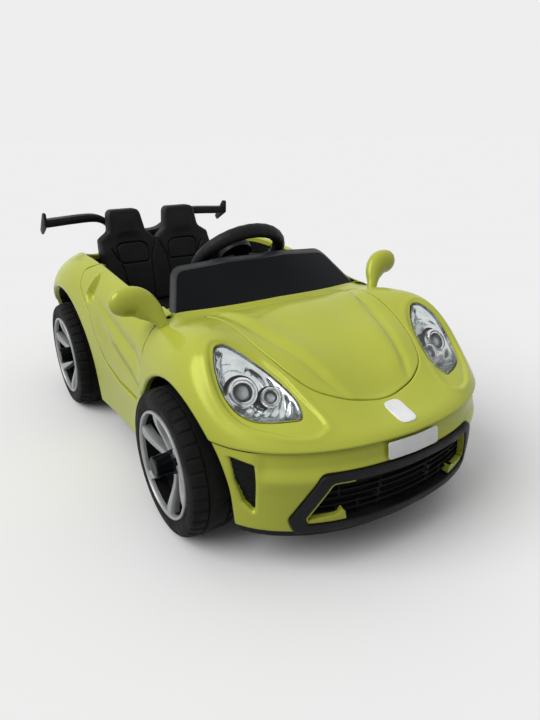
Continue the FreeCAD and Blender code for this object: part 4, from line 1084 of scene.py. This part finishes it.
def on_bars(p):
    x, z = p[:, 0], p[:, 2]
    rows = 1.2 - np.min([np.abs(z - q) for q in BAR_ROWS], axis=0)
    posts = 0.9 - np.min([np.abs(x - q) for q in BAR_POSTS], axis=0)
    return np.maximum(rows, posts)


bars = panel(chin, [(in_eye, 0, 0), (on_bars, 0.7, 0.6)], None, 9.5)
sheet_back = panel(chin, [(in_eye, 0, 0)], None, 15.5)
show("grille_bars", *doubled(skin(bars), wall(bars, on_bars, 5), skin(sheet_back)),
     dark_plastic_and_shade, ["grille_mesh"])

# painted corners: a small tray and a thin line along the edge
TRAY = outline([(151, 83, 2), (98, 83, 2), (103, 103, 3), (111, 93, 4), (149, 89, 2)])
in_tray = on_nose(TRAY)


def line_out(p):
    return in_eye(p) - 0.6


def line_in(p):
    return 2.8 - in_eye(p)


def line_end(p):
    return np.minimum(p[:, 0] - 94, p[:, 2] - 88)


tray = panel(chin, [(in_tray, 0.8, 0.8)], None, 2.0)
line = panel(chin, [(line_out, 0, 0), (line_in, 0, 0), (line_end, 0, 0)], None, 1.0)
show("grille_corners", *doubled(
    skin(tray), wall(tray, in_tray, 9), skin(line), wall(line, line_in, 9),
    wall(line, line_out, 3), wall(line, line_end, 9)), paint)


# dark bottoms of the two side intakes
def in_intake(p):
    return 1.5 - off_intake(p)


def pit_relief(p):
    z = p[:, 2]
    return -4 * smooth(150, 120, z) + 0.8 * np.cos(z * 0.7)


pit = panel(chin, [(in_intake, 0, 0)], pit_relief, 9.0)
show("intake_pits", *doubled(skin(pit)), dark_plastic_and_shade, ["side_intakes"])

# plain plate on the nose
MARK = outline(full([(15, -481, 11), (15, -439, 11)]), 8)
in_mark = within(MARK, 0, 1)
mark = panel(tip, [(in_mark, 1.4, 1.2)], None, -1.4)
show("nose_mark", *doubled(skin(mark), wall(mark, in_mark, 1.5)), white, ["nose_badge"])

# windscreen: dark pane with a bevelled edge, on a face drawn wider than its outline
SCREEN = outline(full([(213, 258, 0), (155, 357, 34), (60, 365, 120)]), 8)
WIDER = 1.15
BEVEL = 9.0
across, rise = np.meshgrid(np.linspace(-1, 1, 121), np.linspace(268, 368, 70), indexing="ij")
edge_x = WIDER * (190 - 0.597 * (rise - 293))
middle_y = -165 + 1.17 * (rise - 300)
edge_y = middle_y + ((-143 + 1.113 * (rise - 293)) - middle_y) * WIDER ** 2
screen = grid_mesh(np.stack([across * edge_x, middle_y + (edge_y - middle_y) * across ** 2, rise], -1))
in_screen = within(SCREEN, 0, 2)
in_pane = within(SCREEN, 0, 2, BEVEL)
off_pane = beyond(in_pane)


def bevel_relief(p):
    return -4 * (1 - smooth(0, BEVEL, in_screen(p)) ** 0.8)


pane = panel(screen, [(in_pane, 0, 0)])
show("screen_pane", *skin(pane), gloss, ["windshield"])
frame_piece = panel(screen, [(in_screen, 0, 0), (off_pane, 0, 0)], bevel_relief, 0.0,
                    [(in_screen, (1.5, 3.5, 6))])
back_piece = panel(screen, [(in_screen, 0, 0)], None, 12.0)
show("screen_frame", *joined(
    skin(frame_piece), wall(frame_piece, in_screen, 5), reverse(back_piece, back_piece[3])), grey)

# seat back with moulded grooves, its outline in shares of its height
SEAT_LOW = 182.5
SEAT_TALL = 215.5
SEAT_THICK = 23.5
GROOVE = (-3, -1.5, 0, 1.5, 3)
BACK = outline([(x, SEAT_LOW + SEAT_TALL * up, r) for x, up, r in full([
    (122, 0.0, 0), (140, 0.55, 40), (138, 0.70, 10), (114, 0.775, 12), (108, 1.0, 16),
    (32, 1.0, 16), (24, 0.775, 14), (0.5, 0.68, 0)])], 6)
PAD = outline([(25, 276, 10), (98, 276, 12), (103, 322, 26), (27, 322, 26)], 7)
WEDGE = outline(full([(0.5, 330, 0), (20, 284, 24), (26, 176, 0)]), 7)
SIDE = outline([
    (98, 276, 10), (114, 310, 10), (150, 340, 0), (150, 170, 0), (84, 170, 0), (92, 262, 30)], 6)


# y of the leaning face at a height
def seat_face(z):
    return 335 + 52 * (z - 184) / 214


seat_x, seat_z = np.meshgrid(np.linspace(-146, 146, 118), np.linspace(180, 400, 88), indexing="ij")
seat = grid_mesh(np.stack([seat_x, seat_face(seat_z), seat_z], -1))
in_back = within(BACK, 0, 2)
wedge_line = within(WEDGE, 0, 2)


def pad_line(p):
    return inside(PAD, np.abs(p[:, 0]), p[:, 2])


def side_line(p):
    return inside(SIDE, np.abs(p[:, 0]), p[:, 2])


def groove(d):
    return -2.4 * np.exp(-(d / 1.6) ** 2)


def seat_relief(p):
    x = np.abs(p[:, 0])
    z = p[:, 2]
    h = groove(pad_line(p)) + groove(wedge_line(p)) * (z < 327)
    h += groove(side_line(p)) * smooth(316, 308, z)
    h += 6 * smooth(100, 132, x) * smooth(330, 300, z)
    h += 3 * smooth(330, 352, z) * smooth(8, 30, in_back(p))
    return h


def to_seat_back(p, n):
    p[:, 1] = seat_face(p[:, 2]) + SEAT_THICK
    return p


rest = panel(seat, [(in_back, 9, 8)], seat_relief, 0.0,
             [(pad_line, GROOVE), (wedge_line, GROOVE), (side_line, GROOVE)])
rest_back = rest[3].copy()
rest_back[:, 1] = rest[0][:, 1] + SEAT_THICK
show("seat_rest", *joined(
    skin(rest), skirt(rest, in_back, to_seat_back), reverse(rest, rest_back)), black, ["seat_back"])

# steering wheel: hoop with a ribbed grip, and three arms
STEER_AT = np.array((0, -25, 344))
TILT = (0, 0.70710678, 0.70710678)
HOOP = 82
ARM_IN = 16
ARM_OUT = 80
grip = []
for a in circle(20):
    grip.append((HOOP + 11.5 * math.cos(a), 13 * math.sin(a)))


def ribs(k, i, h):
    return 0.35 * math.cos(k * math.pi / 2) * (1 if grip[i][0] > 80 else 0)


hoop = turned(grip, STEER_AT, TILT, 120, True, ribs)
su, sv, sw = ring_frame(TILT)
arms = []
for a in (0.0, math.pi, -math.pi / 2):
    along = su * math.cos(a) + sv * math.sin(a)
    across = np.cross(sw, along)
    lines = []
    for r in np.linspace(ARM_IN, ARM_OUT, 9):
        wide = 17 - 7 * math.sin(math.pi * (r - ARM_IN) / (ARM_OUT - ARM_IN))
        section = [(-wide, -4), (-wide + 1, 3), (-wide + 4, 5), (wide - 4, 5), (wide - 1, 3), (wide, -4)]
        middle = STEER_AT + along * r
        lines.append(np.array([middle + across * s + sw * (h - 4) for s, h in section]))
    arms.append(swept(lines))
show("steering_hoop", *joined(hoop, *arms), black, ["steering_wheel"], "steering")


# mirrors: neck and head in one smooth form
def egg_line(at, way, wide, tall):
    way = way / np.linalg.norm(way)
    v = np.cross(way, (0, 1, 0))
    v /= np.linalg.norm(v)
    u = np.cross(v, way)
    a = circle(28)
    return at + np.outer(np.cos(a) * wide, u) + np.outer(np.sin(a) * tall, v)


# centre, half width and half height at each step from the foot to the tip
STEM = np.array([
    (209, -164, 280, 9, 10), (211, -163, 288, 8.6, 9.6), (216, -159, 298, 9.6, 11.5),
    (222, -153, 308, 12.4, 16.5), (231, -147, 317, 15, 21), (242, -143, 325, 16.6, 23),
    (255, -141, 327.5, 17, 23), (268, -140, 327, 15.5, 21), (277, -139, 326, 12, 16),
    (282.5, -138.5, 325.5, 7, 9.5), (284.8, -138, 325.2, 1.5, 2)])
at = np.linspace(0, len(STEM) - 1, 48)
rows = np.stack([spline(np.arange(len(STEM)), STEM[:, c])(at) for c in range(5)], 1)
way = np.gradient(rows[:, :3], axis=0)
stem = swept([egg_line(r[:3], w, max(r[3], 0.5), max(r[4], 0.5)) for r, w in zip(rows, way)])
# flat back of the head, with the centre and half sizes of its glass
BACK_FACE = -129.0
GLASS_AT = (255, 327.5)
GLASS_HALF = (22, 15.5)
stem[0][:, 1] = np.minimum(stem[0][:, 1], BACK_FACE)
ang = circle(40)
glass_lines = []
for k, out in ((1.0, -1.0), (1.0, 0.6), (0.94, 1.2), (0.5, 1.4)):
    x = GLASS_AT[0] + GLASS_HALF[0] * k * np.cos(ang)
    z = GLASS_AT[1] + GLASS_HALF[1] * k * np.sin(ang)
    glass_lines.append(np.stack([x, np.full(len(ang), BACK_FACE + out), z], 1)[::-1])
glass_mesh = swept(glass_lines)
for hand, turn_over in SIDES:
    show("mirror_%s_head" % hand, *turn_over(stem), paint, ["mirror_" + hand])
    show("mirror_%s_pane" % hand, *turn_over(glass_mesh), looking, ["mirror_glass_" + hand])

# spoiler: one bent blade with end plates and two feet
TOP = np.array([
    (0, 334), (30, 334), (50, 337), (66, 348), (84, 365), (100, 377.5), (116, 382), (140, 382),
    (180, 380), (233, 376.5)])
BLADE = [
    (454, -12), (454.6, -4), (457, -1), (464, 0), (480, 0), (494, -1.5), (499, -4), (500, -8), (499, -15),
    (494, -18.4), (480, -19), (464, -19), (456, -17.5)]
SOFT = 7
run_x = np.linspace(0, TOP[-1, 0], 48)
run_z = np.pad(np.interp(run_x, *TOP.T), SOFT // 2, "edge")
run_z = np.convolve(run_z, np.ones(SOFT) / SOFT, "valid")
blade = []
for x, z in zip(np.r_[-run_x[:0:-1], run_x], np.r_[run_z[:0:-1], run_z]):
    blade.append(np.array([(x, y, z + h) for y, h in BLADE]))
FIN = outline([(450, 392, 3), (464, 392, 3), (512, 346, 4), (502, 338, 4), (452, 362, 5)], 4)
middle = FIN.mean(0)
fin_lines = []
for x, k in ((231, 0.94), (232.2, 1.0), (235.8, 1.0), (237, 0.94)):
    fin_lines.append(np.array([(x, y, z) for y, z in middle + (FIN - middle) * k]))
fin = swept(fin_lines)
FOOT_AT = (48, 458)
ang = circle(20)
foot_lines = []
for z, k in ((296, 1.25), (306, 1.05), (318, 1.0), (330, 1.2)):
    x = FOOT_AT[0] + 9 * k * np.cos(ang)
    y = FOOT_AT[1] + 12 * k * np.sin(ang)
    foot_lines.append(np.stack([x, y, np.full(len(ang), z)], 1))
foot = swept(foot_lines)
show("spoiler_blade", *joined(swept(blade), fin, flipped(*fin), foot, flipped(*foot)), black, ["spoiler"])

# materials of the frame's own nodes, by the start of their names
LOOKS = (
    (paint, "upper_body front_bumper rear_bumper hood mirror door"),
    (black, "floor_pan grille side_intakes dashboard drive_switch seat spoiler steering_wheel"),
    (black, "steering_pad horn_button pedal gearboxes control_box charge_socket hub_cap"),
    (steel, "rear_axle front_beam kingpins knuckle tie_rod steering_column motors floor_screws"),
    (white, "number_plate nose_badge"), (clear, "headlight_lens"), (chrome, "headlight_bucket"),
    (lamp, "headlight_lamps"), (red, "tail_lights"), (gloss, "windshield"), (button, "power_button"),
    (looking, "mirror_glass"), (cell, "battery"), (rubber, "tyre"), (silver, "rim"))
KEEP = {start: mat for mat, starts in LOOKS for start in starts.split()}
for name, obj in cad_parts.items():
    word = max((k for k in KEEP if name.startswith(k)), key=len)
    for slot in obj.material_slots:
        slot.material = KEEP[word].mat

# camera as the photograph was taken
lens = bpy.data.cameras.new("view")
lens.sensor_width = 36.0
lens.lens = 28.49
lens.clip_start = 0.02
camera = bpy.data.objects.new("view", lens)
scene.collection.objects.link(camera)
eye = Vector((-0.5206, -0.9531, 0.5598))
aim = Vector((0.0804, -0.0149, 0.1165))
roll = Matrix.Rotation(math.radians(-0.288), 4, "Z")
turn = (aim - eye).to_track_quat("-Z", "Y").to_matrix().to_4x4()
camera.matrix_world = Matrix.Translation(eye) @ turn @ roll
scene.camera = camera

# floor, light and background
FLOOR_HALF = 60
corners = [(FLOOR_HALF * x, FLOOR_HALF * y, 0) for x, y in ((-1, -1), (1, -1), (1, 1), (-1, 1))]
floor_mesh = bpy.data.meshes.new("floor")
floor_mesh.from_pydata(corners, [], [(0, 1, 2, 3)])
floor = bpy.data.objects.new("floor", floor_mesh)
scene.collection.objects.link(floor)
cover = Mat("floor", spec=0.0)
cover.colours(3, [(0.85, 0.85, 0.85), (0.86, 0.86, 0.86)])
cover.roughness(30, 0.85, 0.95)


# one where a surface is seen directly, in a reflection or through glass, else nought
def in_view(tree):
    path = tree.nodes.new("ShaderNodeLightPath")
    total = path.outputs["Is Camera Ray"]
    for kind in ("Is Glossy Ray", "Is Transmission Ray"):
        more = tree.nodes.new("ShaderNodeMath")
        more.operation = "MAXIMUM"
        tree.links.new(total, more.inputs[0])
        tree.links.new(path.outputs[kind], more.inputs[1])
        total = more.outputs[0]
    return total


# the floor throws less light up at the car than it shows
dim = cover.tree.nodes.new("ShaderNodeBsdfDiffuse")
set_inputs(dim, {"Color": (0.3, 0.3, 0.3, 1.0)})
mixed(cover.tree, in_view(cover.tree), dim.outputs["BSDF"], cover.shader.outputs["BSDF"], "Material Output")
floor_mesh.materials.append(cover.mat)

# light that grows with height, and the even grey that is seen
world = bpy.data.worlds.new("studio")
scene.world = world
world.use_nodes = True
tree = world.node_tree
place = tree.nodes.new("ShaderNodeTexCoord")
apart = tree.nodes.new("ShaderNodeSeparateXYZ")
fade = tree.nodes.new("ShaderNodeValToRGB")
set_stops(fade.color_ramp, [
    (0.05, (0.0588, 0.0594, 0.06)), (0.4, (0.2744, 0.2772, 0.28)), (1.0, (1.0, 1.0, 1.0))])
back = tree.nodes["Background"]
set_inputs(back, {"Strength": 1.0})
tree.links.new(place.outputs["Generated"], apart.inputs["Vector"])
tree.links.new(apart.outputs["Z"], fade.inputs["Fac"])
tree.links.new(fade.outputs["Color"], back.inputs["Color"])
seen = tree.nodes.new("ShaderNodeBackground")
set_inputs(seen, {"Color": (0.855, 0.855, 0.855, 1.0)})
mixed(tree, in_view(tree), back.outputs["Background"], seen.outputs["Background"], "World Output")

# one wide lamp from the right
SUN_WAY = Vector((0.97, -0.12, -0.88))
sun_data = bpy.data.lights.new("key", "SUN")
sun_data.energy = 1.85
sun_data.angle = math.radians(45)
sun = bpy.data.objects.new("key", sun_data)
scene.collection.objects.link(sun)
sun.rotation_euler = SUN_WAY.to_track_quat("-Z", "Y").to_euler()
scene.view_settings.view_transform = "Standard"
